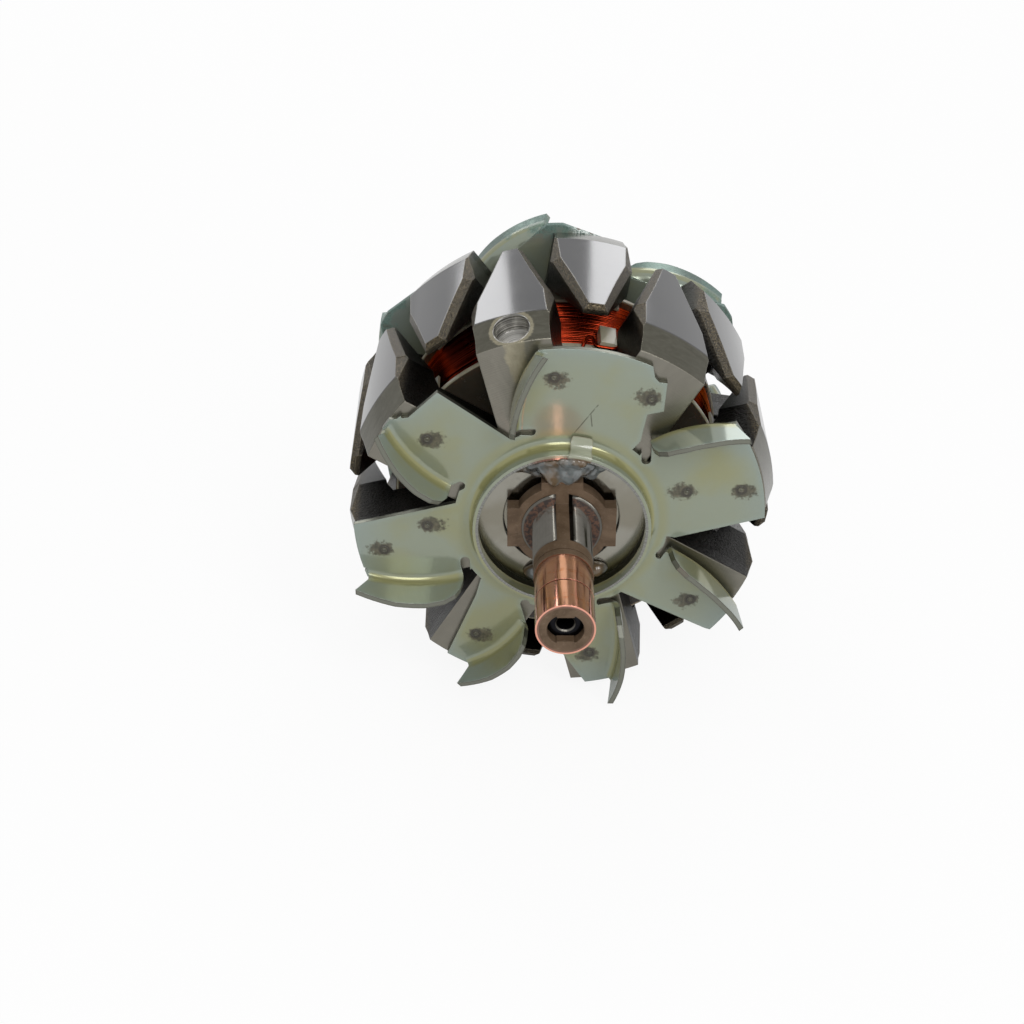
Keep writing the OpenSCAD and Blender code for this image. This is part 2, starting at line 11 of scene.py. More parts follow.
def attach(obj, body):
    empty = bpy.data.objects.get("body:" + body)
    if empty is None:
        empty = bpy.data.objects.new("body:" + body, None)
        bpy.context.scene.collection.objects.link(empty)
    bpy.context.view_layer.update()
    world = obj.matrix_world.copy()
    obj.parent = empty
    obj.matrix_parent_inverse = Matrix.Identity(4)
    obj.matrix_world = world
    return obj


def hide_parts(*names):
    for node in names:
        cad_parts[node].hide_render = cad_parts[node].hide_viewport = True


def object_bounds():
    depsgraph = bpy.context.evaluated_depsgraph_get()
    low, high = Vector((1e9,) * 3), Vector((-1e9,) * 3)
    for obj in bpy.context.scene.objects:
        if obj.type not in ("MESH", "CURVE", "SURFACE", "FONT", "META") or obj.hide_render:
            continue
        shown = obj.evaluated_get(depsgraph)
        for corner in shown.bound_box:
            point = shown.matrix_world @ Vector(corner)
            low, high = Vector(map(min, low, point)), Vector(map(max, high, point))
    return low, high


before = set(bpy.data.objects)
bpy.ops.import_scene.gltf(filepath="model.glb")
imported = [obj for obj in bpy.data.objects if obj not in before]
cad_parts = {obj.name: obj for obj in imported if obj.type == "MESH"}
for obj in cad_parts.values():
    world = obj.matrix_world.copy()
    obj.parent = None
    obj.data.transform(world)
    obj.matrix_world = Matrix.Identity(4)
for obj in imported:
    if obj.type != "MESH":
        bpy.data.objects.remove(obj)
SOLID_BOX = [list(map(float, corner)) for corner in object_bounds()]

bl_info = {
    "name": "Alternator rotor",
    "version": (1, 0, 0),
    "blender": (4, 5, 0),
    "location": "3D View > Sidebar > Rotor",
    "description": "Dresses the solids of a claw-pole alternator rotor",
    "category": "Object",
}

# Sizes in millimetres, as in the solids. Here and below, a is a place along the spin axis, counted
# from the pole face on the slip-ring side towards the slip rings, r is a radius round that axis, h
# is a height over a pole face, and turn is an angle in degrees from +X towards +Z.
MM = 0.001
JOURNAL_MID = 12.85
BODY_L = 58.5
FORGED_R = 54.86
BAND_INNER_R = 51.2
RECESS_R = 21.4
SHEET_T = 1.4
HUB_R = 21.2
HUB_H = 6.2
LIP_R = 21.95
SHOULDER_FACE = 5.2
THREAD_START = -106.2
SHAFT_END = -120.0
THREAD_R = 8.0
UNDERCUT_R = 6.9
TAIL_START = JOURNAL_MID + 8.2
TAIL_END = 45.2
COIL_A = -14.8
COIL_B = -43.7
COIL_R = 42.0
COIL_DROP = 1.2


def along(a):
    """World Y, in metres, of a place along the axis."""
    return (JOURNAL_MID - a) * MM


def polar(r, turn, a):
    """World point, in metres, at a radius, a turn and a place along the axis."""
    t = math.radians(turn)
    return Vector((r * MM * math.cos(t), along(a), r * MM * math.sin(t)))


# Node arithmetic


class Field:
    """A value or colour socket that plain arithmetic builds on."""

    def __init__(self, tree, socket):
        self.tree, self.socket = tree, socket

    def math(self, kind, *others):
        made = add_node(self.tree, "Math")
        made.operation = kind
        for slot, value in zip(made.inputs, (self, *others)):
            plug(self.tree, value, slot)
        return Field(self.tree, made.outputs[0])

    def __add__(self, other):
        return self.math("ADD", other)

    def __sub__(self, other):
        return self.math("SUBTRACT", other)

    def __mul__(self, other):
        return self.math("MULTIPLY", other)

    __radd__, __rmul__ = __add__, __mul__

    def __rsub__(self, other):
        return (self * -1) + other

    def top(self, other):
        return self.math("MAXIMUM", other)

    def low(self, other):
        return self.math("MINIMUM", other)

    def rise(self, start, end):
        """0 up to start, 1 from end on, and smooth between; start may be above end."""
        made = add_node(self.tree, "MapRange", Value=self, From_Min=start, From_Max=end)
        made.interpolation_type = "SMOOTHSTEP"
        return Field(self.tree, made.outputs["Result"])

    def hump(self, start, top, end, stop):
        """1 between top and end, 0 outside start and stop."""
        return self.rise(start, top) * self.rise(stop, end)


def plug(tree, value, socket):
    """Links a field or sets a plain value."""
    if isinstance(value, Field):
        tree.links.new(value.socket, socket)
    elif socket.type == "RGBA":
        colour = value if hasattr(value, "__len__") else (value, value, value)
        socket.default_value = (*colour, 1.0)
    else:
        socket.default_value = value


def add_node(tree, kind, **inputs):
    """A new shader node; its inputs are named with _ for a space."""
    made = tree.nodes.new("ShaderNode" + kind)
    for key, value in inputs.items():
        plug(tree, value, made.inputs[key.replace("_", " ")])
    return made


def blend(fac, under, over):
    """The colour under, covered by over where fac is 1."""
    tree = fac.tree
    made = add_node(tree, "Mix")
    made.data_type = "RGBA"
    plug(tree, fac, made.inputs[0])
    plug(tree, under, made.inputs[6])
    plug(tree, over, made.inputs[7])
    return Field(tree, made.outputs[2])


def point(tree):
    """The object's own coordinates."""
    return Field(tree, add_node(tree, "TexCoord").outputs["Object"])


def cloud(tree, place, scale, detail, rough, warp=0.0):
    """Noise between 0 and 1; warp bends it."""
    made = add_node(
        tree, "TexNoise", Vector=place, Scale=scale, Detail=detail, Roughness=rough, Distortion=warp
    )
    return Field(tree, made.outputs["Fac"])


def axes(tree, vector):
    return [Field(tree, out) for out in add_node(tree, "SeparateXYZ", Vector=vector).outputs]


def vector(tree, x, y, z):
    return Field(tree, add_node(tree, "CombineXYZ", X=x, Y=y, Z=z).outputs[0])


# Effects that several materials share


def new_group(name, inputs, outputs):
    """An empty node group; each socket is (name, kind)."""
    tree = bpy.data.node_groups.new(name, "ShaderNodeTree")
    for side, sockets in (("INPUT", inputs), ("OUTPUT", outputs)):
        for label, kind in sockets:
            tree.interface.new_socket(name=label, in_out=side, socket_type=kind)
    start = tree.nodes.new("NodeGroupInput")
    end = tree.nodes.new("NodeGroupOutput")
    return tree, [Field(tree, out) for out in start.outputs[:-1]], end


VALUE, VECTOR = "NodeSocketFloat", "NodeSocketVector"


def rotor_place_group():
    """Radius and place along in mm, turn in degrees, and how far a face looks out and along."""
    tree, (spot, facing), end = new_group(
        "rotor place",
        [("Point", VECTOR), ("Facing", VECTOR)],
        [(label, VALUE) for label in ("Radius", "Turn", "Along", "Outward", "Axial")],
    )
    x, y, z = axes(tree, spot)
    nx, ny, nz = axes(tree, facing)
    r = (x * x + z * z).math("SQRT")
    plug(tree, r * 1000, end.inputs["Radius"])
    plug(tree, z.math("ARCTAN2", x) * (180 / math.pi), end.inputs["Turn"])
    plug(tree, JOURNAL_MID - y * 1000, end.inputs["Along"])
    plug(tree, (x * nx + z * nz).math("DIVIDE", r), end.inputs["Outward"])
    plug(tree, ny * -1, end.inputs["Axial"])
    return tree


def turned_lines_group():
    """Fine uneven tool lines across a value in mm."""
    tree, (place, pitch), end = new_group(
        "turned lines", [("Place", VALUE), ("Pitch", VALUE)], [("Lines", VALUE)]
    )
    made = add_node(tree, "TexNoise", Scale=1.0, Detail=3.0, Roughness=0.7)
    made.noise_dimensions = "1D"
    plug(tree, place.math("DIVIDE", pitch), made.inputs["W"])
    plug(tree, Field(tree, made.outputs["Fac"]).rise(0.3, 0.7), end.inputs["Lines"])
    return tree


def forged_grain_group():
    """Scale left by forging: pits and raised specks."""
    tree, (spot, size), end = new_group(
        "forged grain", [("Point", VECTOR), ("Size", VALUE)], [("Pits", VALUE), ("Specks", VALUE)]
    )
    made = add_node(tree, "VectorMath")
    made.operation = "SCALE"
    plug(tree, spot, made.inputs[0])
    plug(tree, size, made.inputs["Scale"])
    scaled = Field(tree, made.outputs[0])
    plug(tree, cloud(tree, scaled, 1.0, 5.0, 0.7).rise(0.38, 0.62), end.inputs["Pits"])
    plug(tree, cloud(tree, scaled, 2.6, 2.0, 0.6).rise(0.5, 0.64), end.inputs["Specks"])
    return tree


def rounded_normal(tree, radius):
    """The normals of a piece whose corners are rounded by a radius in metres."""
    made = add_node(tree, "Bevel", Radius=radius)
    made.samples = 4
    return made.outputs["Normal"]


def sharp_edge_group():
    """A mask of a thin line along sharp edges, for painted edge highlights and other edge tones."""
    tree, (width,), end = new_group("sharp edge", [("Width", VALUE)], [("Edge", VALUE)])
    turn = add_node(tree, "VectorMath")
    turn.operation = "DOT_PRODUCT"
    tree.links.new(rounded_normal(tree, width), turn.inputs[0])
    tree.links.new(add_node(tree, "NewGeometry").outputs["Normal"], turn.inputs[1])
    plug(tree, Field(tree, turn.outputs["Value"]).rise(0.985, 0.9), end.inputs["Edge"])
    return tree


GROUPS = {}


def use_group(tree, name, **inputs):
    """Places a shared group and returns its outputs by name."""
    made = add_node(tree, "Group")
    made.node_tree = GROUPS[name]
    for key, value in inputs.items():
        plug(tree, value, made.inputs[key])
    return {out.name: Field(tree, out) for out in made.outputs}


Place = namedtuple("Place", "r turn a outward axial")


def rotor_place(tree):
    """Where a point is on the rotor, and how far its face looks outwards and along the axis."""
    coords = add_node(tree, "TexCoord")
    spot, facing = (Field(tree, coords.outputs[key]) for key in ("Object", "Normal"))
    return Place(*use_group(tree, "rotor place", Point=spot, Facing=facing).values())


def sharp_edge(tree, width):
    """Mask of the sharp edges; width in mm."""
    return use_group(tree, "sharp edge", Width=width * MM)["Edge"]


def lines(tree, place, pitch):
    return use_group(tree, "turned lines", Place=place, Pitch=pitch)["Lines"]


# Materials


def end_material(mat, colour, metallic, rough, height, depth, edge=0.0, **plain):
    """Gives a finish its fields; the bump's depth and the rounding of the edges are in mm."""
    tree = mat.node_tree
    shader = add_node(
        tree, "BsdfPrincipled", Base_Color=colour, Metallic=metallic, Roughness=rough, **plain
    )
    out = add_node(tree, "OutputMaterial")
    tree.links.new(shader.outputs["BSDF"], out.inputs["Surface"])
    bump = add_node(tree, "Bump", Strength=1.0, Distance=depth * MM, Height=height)
    if edge:
        tree.links.new(rounded_normal(tree, edge * MM), bump.inputs["Normal"])
    tree.links.new(bump.outputs["Normal"], shader.inputs["Normal"])
    return mat


def start_material(name):
    """A new finish and its empty tree."""
    mat = bpy.data.materials.new(name)
    mat.use_nodes = True
    mat.node_tree.nodes.clear()
    return mat, mat.node_tree


DRILL_TURN, DRILL_ALONG, DRILL_R = 103.84, -5.0, 4.5
# Tones of each part of the finish: two that a mask blends, or one that lies over others
IRON = {
    "flank": ((0.012, 0.0095, 0.006), (0.05, 0.042, 0.028)),
    "specks": (0.22, 0.175, 0.105),
    # painted shade, deeper down the flanks
    "deep": ((0.005, 0.0045, 0.0035), (0.045, 0.037, 0.025)),
    "varnish": ((0.078, 0.074, 0.056), (0.118, 0.114, 0.091)),
    "smears": (0.2, 0.195, 0.16),
    "face": ((0.15, 0.143, 0.12), (0.28, 0.265, 0.225)),
    "recess": ((0.31, 0.3, 0.26), (0.25, 0.235, 0.19)),
    "spots": (0.1, 0.09, 0.07),
    "drilling": ((0.14, 0.136, 0.125), (0.6, 0.59, 0.56)),
    "halo": ((0.16, 0.14, 0.09), (0.5, 0.46, 0.34)),
    # painted highlight along the sharp edges
    "edges": (0.36, 0.33, 0.26),
}


def drilling(at, x, z, ground, smear):
    """Reach from the balance drilling's axis in mm, and masks of the drilling and its halo."""
    t = math.radians(DRILL_TURN)
    off = (z * math.cos(t) - x * math.sin(t)) * 1000
    reach = (off * off + (at.a - DRILL_ALONG) * (at.a - DRILL_ALONG)).math("SQRT")
    upper = at.r.rise(40, 42) * (1 - ground) * z.rise(0, 0.001)
    drilled = reach.rise(DRILL_R + 0.3, DRILL_R + 0.1) * upper
    outside = reach.rise(DRILL_R + 0.1, DRILL_R + 0.3) * upper
    halo = (reach + (smear - 0.5) * 1.6).rise(DRILL_R + 1.3, DRILL_R + 0.9) * outside
    return reach, drilled, halo


def pole_iron(looks):
    """Ground claw faces, turned end faces, varnished rim band and dark forged flanks."""
    mat, tree = start_material("forged and ground iron")
    spot = point(tree)
    at = rotor_place(tree)
    r, turn, a = at.r, at.turn, at.a
    x, _, z = axes(tree, spot)
    grain = use_group(tree, "forged grain", Point=spot, Size=1500.0)
    patches = cloud(tree, spot, 90, 4.0, 0.6)
    streak = cloud(tree, vector(tree, turn * 0.12, a * 0.35, r * 0.1), 1.3, 5.0, 0.7, 1.5)
    smear = cloud(tree, vector(tree, turn * 0.2, a * 0.9, r * 0.1), 1.0, 4.0, 0.6, 1.5)
    brushed = cloud(tree, vector(tree, turn * 0.12, a * 4.0, 0.0), 1.0, 3.0, 0.7)
    round_lines = lines(tree, r, 0.17)
    cross_lines = lines(tree, a + turn * 0.01, 0.16)

    ground = r.rise(FORGED_R - 0.04, FORGED_R + 0.07) * at.outward.rise(0.9, 0.97)
    near_ends = (a.rise(-1.6, -1.3) + a.rise(-BODY_L + 0.6, -BODY_L + 0.3)).low(1.0)
    end_face = at.axial.math("ABSOLUTE").rise(0.9, 0.97) * near_ends
    band = at.outward.rise(0.86, 0.92) * r.rise(BAND_INNER_R, BAND_INNER_R + 0.4) * (1 - ground)
    # Painted shade: the flanks darken further in, from radius 54.3 mm down to 51.5 mm.
    deep = r.rise(54.3, 51.5)
    recess = r.rise(RECESS_R, RECESS_R - 0.6)
    reach, drilled, halo = drilling(at, x, z, ground, smear)

    flank = blend(grain["Pits"], *IRON["flank"])
    flank = blend(grain["Specks"] * 0.7, flank, IRON["specks"])
    colour = blend(deep, flank, blend(grain["Specks"] * 0.3, *IRON["deep"]))
    varnish = blend(streak.rise(0.2, 0.8), *IRON["varnish"])
    varnish = blend(smear.rise(0.5, 0.75) * 0.3, varnish, IRON["smears"])
    colour = blend(band, colour, varnish)
    face = blend(round_lines * 0.4 + smear * 0.6, *IRON["face"])
    stains = cloud(tree, spot, 60, 3.0, 0.5).rise(0.4, 0.6)
    stained = blend(stains, *IRON["recess"])
    stained = blend(patches.rise(0.55, 0.7) * 0.4, stained, IRON["spots"])
    colour = blend(end_face, colour, blend(recess, face, stained))
    sheen = cross_lines * 0.3 + brushed * 0.4 + patches * 0.3
    colour = blend(ground, colour, blend(sheen, looks.claw_dark, looks.claw_light))
    colour = blend(drilled, colour, blend(lines(tree, reach + r, 0.35), *IRON["drilling"]))
    colour = blend(halo * 0.8, colour, blend(streak, *IRON["halo"]))
    # Painted highlight: a thin bright line along the sharp edges, speckled by the grain and weaker
    # on the end faces.
    edge = sharp_edge(tree, 0.35) * (1 - drilled)
    edge = edge * (0.25 + grain["Specks"] * 0.5) * (1 - end_face * 0.5)
    colour = blend(edge, colour, IRON["edges"])

    worked = ground.top(end_face).top(drilled)
    rough = 0.085 + patches * 0.05 + brushed * 0.03
    rough = rough + end_face * 0.17 - end_face * recess * 0.12 + drilled * 0.2
    rough = blend(worked, 0.38 - deep * 0.1 - band * 0.2, rough)
    cut_lines = (cross_lines * 0.005 + brushed * 0.02) * ground + round_lines * end_face * 0.012
    height = blend(worked, grain["Pits"] * (1 - band * 0.92), cut_lines)
    return end_material(mat, colour, worked.top(0.85), rough, height, 0.05, edge=0.45)


# Radius and turn of each weld mark and scratch, read off the photograph
WELDS = (
    (41.9, 93.1), (41.7, 58.8), (41.5, 144.2), (34.2, 182.4), (46.3, 191.1), (42.2, 238.3),
    (42.9, 280.6), (42.0, 324.0), (32.7, 15.4), (46.2, 11.7),
)
# Of the front fan: turn of its first blade, and radius and shift of each blade's two weld marks
FRONT_START, FRONT_BLADES, FRONT_WELDS = 33.5, 6, ((33.0, 4.0), (46.0, -8.0))
SCRATCHES = (((26.5, 83.6), (35.1, 76.0)), ((32.0, 77.7), (29.0, 75.7)))

# Heights where the bends are olive, radii of the collar's foot, and turns of the front fan's crust
BEND_H = (1.42, 1.9, 3.0, 5.4)
FOOT_R = (24.2, 25.4, 25.8, 28.5)
CRUST_TURN = (58, 62, 84, 88)
SHEET = {
    "dust": (0.2, 0.22, 0.17),
    "cut": ((0.025, 0.021, 0.014), (0.08, 0.071, 0.05)),
    # painted highlight in the middle of the cut faces
    "cut highlight": (0.15, 0.155, 0.125),
    # painted highlight in a band along the sharp edges
    "burr": ((0.1, 0.1, 0.085), (0.36, 0.36, 0.34)),
    "border": (0.26, 0.32, 0.3),
    # painted highlight along the sharp edges
    "painted edge line": (0.45, 0.48, 0.43),
    "burnt": ((0.025, 0.02, 0.011), (0.095, 0.08, 0.05)),
    "crater": (0.045, 0.04, 0.03),
    "scratch": (0.06, 0.055, 0.04),
    "corroded cut": ((0.035, 0.085, 0.075), (0.085, 0.15, 0.125)),
    "patina": ((0.04, 0.1, 0.085), (0.11, 0.2, 0.17)),
    "crust": ((0.1, 0.17, 0.155), (0.78, 0.84, 0.8)),
    "rust": (0.1, 0.05, 0.025),
}


def front_welds():
    return [
        (weld_r, FRONT_START + k * 360 / FRONT_BLADES + shift)
        for k in range(FRONT_BLADES)
        for weld_r, shift in FRONT_WELDS
    ]


def scratch(x, z, start, end, width):
    """Mask of a straight scratch between two (radius, turn) points of a fan."""
    first, last = polar(*start, 0) / MM, polar(*end, 0) / MM
    dx, dz = last.x - first.x, last.z - first.z
    square = dx * dx + dz * dz
    way = (((x - first.x) * dx + (z - first.z) * dz) * (1 / square)).top(0.0).low(1.0)
    off_x, off_z = x - first.x - way * dx, z - first.z - way * dz
    return (off_x * off_x + off_z * off_z).math("SQRT").rise(width, width * 0.4)


def weld_masks(x, z, welds, ragged):
    """Masks of the burnt smears and of the dark rings at their middles."""
    burnt, crater = None, None
    for weld_r, weld_turn in welds:
        centre = polar(weld_r, weld_turn, 0)
        dx, dz = (x - centre.x) * 1000, (z - centre.z) * 1000
        away = (dx * dx + dz * dz).math("SQRT")
        spread = (dx * dx + dz * dz * 1.9).math("SQRT")
        # The degrees, taken as radians, let each smear lean its own way
        lean = (dx * math.cos(weld_turn) + dz * math.sin(weld_turn)) * 0.35
        mark = (spread + (ragged - 0.5) * 5.6 - lean).rise(3.5, 2.2)
        ring = away.hump(0.6, 0.8, 1.25, 1.8)
        burnt = mark if burnt is None else burnt.top(mark)
        crater = ring if crater is None else crater.top(ring)
    return burnt, crater


def fan_sheet(looks, name, face, welds, corroded):
    """Passivated sheet: olive in the bends, bluish at the rims, burnt round the weld marks."""
    mat, tree = start_material(name)
    spot = point(tree)
    at = rotor_place(tree)
    r, turn = at.r, at.turn
    x, _, z = axes(tree, spot)
    h = (at.a - face) if face > -1 else (face - at.a)
    facing = at.axial.math("ABSOLUTE")
    soft = cloud(tree, spot, 55, 3.0, 0.5)
    fine = cloud(tree, spot, 700, 3.0, 0.6)
    ragged = cloud(tree, spot, 900, 4.0, 0.65)
    grit = cloud(tree, spot, 2200, 2.0, 0.6)

    rim = r.rise(43.0, 52.5)
    bend = h.hump(*BEND_H) * (0.6 if corroded else 1.0)
    foot = r.hump(*FOOT_R) * h.rise(2.0, 1.2) * 0.55
    olive = (bend * 0.95).top(foot).top(soft.rise(0.42, 0.68) * 0.6 * (1 - rim * 0.6))
    tall = h.rise(3.4, 4.4)
    top_edge = tall * facing.rise(0.12, 0.3) * r.rise(24, 25)
    side_edge = h.rise(0.02, 0.06) * h.rise(SHEET_T, SHEET_T - 0.06) * facing.rise(0.4, 0.2)
    side_edge = side_edge * r.rise(26.0, 26.6)
    end_edge = tall * at.outward.math("ABSOLUTE").rise(0.74, 0.84) * r.rise(26, 28)
    cut = side_edge.top(end_edge)
    rims = cut.top(top_edge)
    burr = h.rise(HUB_H - 0.2, HUB_H - 0.05) * r.rise(LIP_R, LIP_R - 0.15)
    flat = facing.rise(0.8, 0.95) * h.rise(2.2, 1.6)
    burnt, crater = weld_masks(x, z, welds, ragged)

    colour = blend(rim * 0.8 + soft * 0.25, looks.fan_colour, looks.fan_edge)
    colour = blend(olive, colour, looks.fan_olive)
    colour = blend(fine * 0.12, colour, SHEET["dust"])
    cut_colour = blend(grit.rise(0.4, 0.65), *SHEET["cut"])
    # Painted highlight: the cut faces are lighter away from their corners, like a rounded edge
    # catching light.
    colour = blend(rims, colour, blend(sharp_edge(tree, 0.6), SHEET["cut highlight"], cut_colour))
    colour = blend(burr, colour, blend(lines(tree, turn, 0.6), *SHEET["burr"]))
    # Painted highlight: a lighter bluish band along the sharp edges of the sheet, 2.4 mm wide, kept
    # off the cut faces and the collar.
    border = sharp_edge(tree, 2.4) * 0.5 * (1 - rims) * r.rise(24.5, 26.5)
    colour = blend(border, colour, SHEET["border"])
    # Painted highlight: a fine bright line along the sharp edges, fainter on the corroded sheet.
    painted_edge_line = sharp_edge(tree, 0.16) * (0.15 if corroded else 0.5)
    colour = blend(painted_edge_line, colour, SHEET["painted edge line"])
    colour = blend(burnt * flat * 0.88, colour, blend(fine.rise(0.3, 0.7), *SHEET["burnt"]))
    colour = blend(crater * flat * 0.9, colour, SHEET["crater"])

    rough = 0.08 + fine * 0.06 + olive * 0.06 - bend * 0.02 + burnt * flat * 0.2 + rims * 0.2
    metallic = (0.32 + cut * 0.5 + burr * 0.6 - burnt * flat * 0.25).low(1.0)
    height = fine * 0.25 + burnt * flat * ragged * 1.4 + cut * grit * 0.6
    if corroded:
        medium = grit.rise(0.35, 0.6)
        colour = blend(rims * 0.8, colour, blend(medium, *SHEET["corroded cut"]))
        ragged_r = r + cloud(tree, spot, 260, 5.0, 0.7) * 14.0
        patina = ragged_r.rise(58.0, 60.5)
        colour = blend(patina * 0.7, colour, blend(medium, *SHEET["patina"]))
        crust = ragged_r.rise(57.0, 59.0) * turn.hump(*CRUST_TURN)
        colour = blend(crust * 0.9, colour, blend(grit.rise(0.42, 0.56), *SHEET["crust"]))
        rust = (crust + patina * 0.3) * cloud(tree, spot, 480, 3.0, 0.6).rise(0.6, 0.68)
        colour = blend(rust, colour, SHEET["rust"])
        rough = rough + (crust + patina * 0.5) * 0.3
        metallic = metallic * (1 - crust.top(patina))
        height = height + (crust + patina * 0.4) * grit * 2.0
    else:
        for start, end in SCRATCHES:
            mark = scratch(x * 1000, z * 1000, start, end, 0.22) * flat * fine.rise(0.3, 0.5)
            colour = blend(mark * 0.7, colour, SHEET["scratch"])
    return end_material(mat, colour, metallic, rough, height, 0.03, edge=0.25)


def turned_steel():
    """Ground journals with stain marks, rust on the shoulder, and painted shade on the tail end in
    its hole.
    """
    mat, tree = start_material("turned steel")
    spot = point(tree)
    at = rotor_place(tree)
    r, a = at.r, at.a
    side = at.axial.math("ABSOLUTE").rise(0.5, 0.7)
    tool = blend(side, lines(tree, a + at.turn * 0.002, 0.22), lines(tree, r, 0.2))
    stain = cloud(tree, spot, 300, 4.0, 0.6, 0.5)
    near_face = [SHOULDER_FACE + off for off in (-0.4, -0.2, 0.2, 0.4)]
    shoulder = side * r.hump(7.4, 7.7, 9.5, 9.8) * a.hump(*near_face)
    rust = (shoulder * (0.75 + stain * 0.6)).low(1.0)
    foot = a.hump(3.0, 5.3, 6.6, 9.5) * r.rise(7.8, 7.6) * stain.rise(0.38, 0.62)
    # Painted shade: the shaft's tail, in the hole at the slip-ring end, is near black but for a
    # thin ring near its end.
    tail = a.rise(TAIL_START, TAIL_START + 0.4)
    lip = r.hump(2.0, 2.15, 2.3, 2.45) * a.rise(TAIL_END - 4.0, TAIL_END - 3.0)
    rust_grain = cloud(tree, spot, 900, 3.0, 0.7).rise(0.4, 0.6)
    rust_colour = blend(rust_grain, (0.016, 0.008, 0.005), (0.085, 0.038, 0.02))
    colour = blend(tool * 0.4 + stain * 0.6, (0.072, 0.067, 0.057), (0.17, 0.162, 0.144))
    colour = blend((rust + foot * 0.7).low(1.0), colour, rust_colour)
    colour = blend(tail * (1 - lip), colour, (0.012, 0.012, 0.014))
    rough = 0.24 + stain * 0.1 + rust * 0.4 + tail * 0.02
    height = tool * 0.1 + rust * stain * 3
    return end_material(mat, colour, 1.0 - rust, rough, height, 0.012, edge=0.15)


def turned_copper(looks):
    """Copper polished by the brushes, with fine tool lines and a few smudges."""
    mat, tree = start_material("turned copper")
    spot = point(tree)
    at = rotor_place(tree)
    r, turn, a = at.r, at.turn, at.a
    tool = lines(tree, a, 0.12)
    worn = cloud(tree, vector(tree, turn * 0.002, a * 0.25, r * 0.01), 2.0, 3.0, 0.6)
    smudge = cloud(tree, spot, 420, 4.0, 0.6).rise(0.5, 0.8)
    outer_end = a.hump(*(TAIL_END - back for back in (3.2, 1.8, 0.7, 0.3)))
    patchy = cloud(tree, vector(tree, turn * 0.03, a * 0.8, 0.0), 2.0, 3.0, 0.6).rise(0.5, 0.62)
    middle = a.hump(32.0, 33.2, 34.2, 34.5)
    heated = (outer_end + middle) * patchy * at.outward.rise(0.5, 0.9)
    tarnish = at.axial.rise(0.6, 0.8) * r.rise(6.85, 6.7)
    colour = blend(tool * 0.3 + worn * 0.7, (0.7, 0.3, 0.21), looks.copper_colour)
    colour = blend(smudge * 0.25, colour, (0.45, 0.18, 0.12))
    colour = blend(heated * 0.8, colour, (0.62, 0.2, 0.07))
    end_colour = blend(smudge, (0.085, 0.05, 0.03), (0.14, 0.085, 0.055))
    colour = blend(tarnish * 0.9, colour, end_colour)
    rough = 0.09 + worn * 0.03 + smudge * 0.08 + heated * 0.12 + tarnish * 0.3
    return end_material(mat, colour, 1.0 - tarnish * 0.8, rough, tool, 0.0008, edge=0.12)


def brown_moulding():
    """Moulded phenolic brown with flow marks."""
    mat, tree = start_material("brown moulding")
    spot = point(tree)
    flow = cloud(tree, spot, 160, 4.0, 0.6, 0.6)
    fine = cloud(tree, spot, 1500, 3.0, 0.6)
    colour = blend(flow.rise(0.3, 0.7), (0.08, 0.05, 0.028), (0.135, 0.09, 0.056))
    colour = blend(fine.rise(0.55, 0.75) * 0.35, colour, (0.22, 0.16, 0.115))
    height = fine * 0.6 + flow
    return end_material(
        mat, colour, 0.0, 0.42 + flow * 0.2, height, 0.03, edge=0.25, Specular_IOR_Level=0.25
    )


def cloudy_resin():
    """Poured resin: blue-grey and glossy, brown where flux has run into it, pale in the film."""
    mat, tree = start_material("cloudy resin")
    spot = point(tree)
    swirl = cloud(tree, spot, 220, 3.0, 0.5, 1.0)
    brown = cloud(tree, spot, 150, 2.0, 0.5).rise(0.42, 0.6)
    film = rotor_place(tree).r.rise(21.7, 22.3)
    colour = blend(swirl.rise(0.3, 0.7), (0.08, 0.088, 0.088), (0.2, 0.222, 0.222))
    colour = blend(brown * 0.85, colour, (0.14, 0.085, 0.035))
    film_colour = blend(sharp_edge(tree, 0.5), (0.34, 0.36, 0.26), (0.2, 0.17, 0.1))
    colour = blend(film, colour, film_colour)
    return end_material(
        mat, colour, 0.0, 0.08 + brown * 0.1, swirl, 0.03,
        Coat_Weight=0.5, Coat_Roughness=0.04, Transmission_Weight=0.2,
    )


def cream_nylon(looks):
    """Bobbin nylon: cream, grimy in patches, and dark on the flanges' faces."""
    mat, tree = start_material("cream nylon")
    spot = point(tree)
    at = rotor_place(tree)
    soft = cloud(tree, spot, 130, 3.0, 0.6)
    fine = cloud(tree, spot, 1200, 2.0, 0.6)
    grime = cloud(tree, spot, 240, 4.0, 0.65).rise(0.5, 0.75)
    # The flanges' faces that look along the axis, inside radius 42.4 mm, are made dark.
    dark_flange_faces = at.axial.math("ABSOLUTE").rise(0.7, 0.9) * at.r.rise(42.4, 42.0)
    colour = blend(soft, looks.nylon_colour, (0.4, 0.36, 0.27))
    colour = blend(grime * 0.55, colour, (0.12, 0.1, 0.065))
    colour = blend(dark_flange_faces, colour, blend(soft, (0.018, 0.014, 0.01), (0.06, 0.048, 0.034)))
    rough = 0.3 + grime * 0.2 - dark_flange_faces * 0.15
    return end_material(mat, colour, 0.0, rough, fine, 0.02, edge=0.2, Subsurface_Weight=0.1)


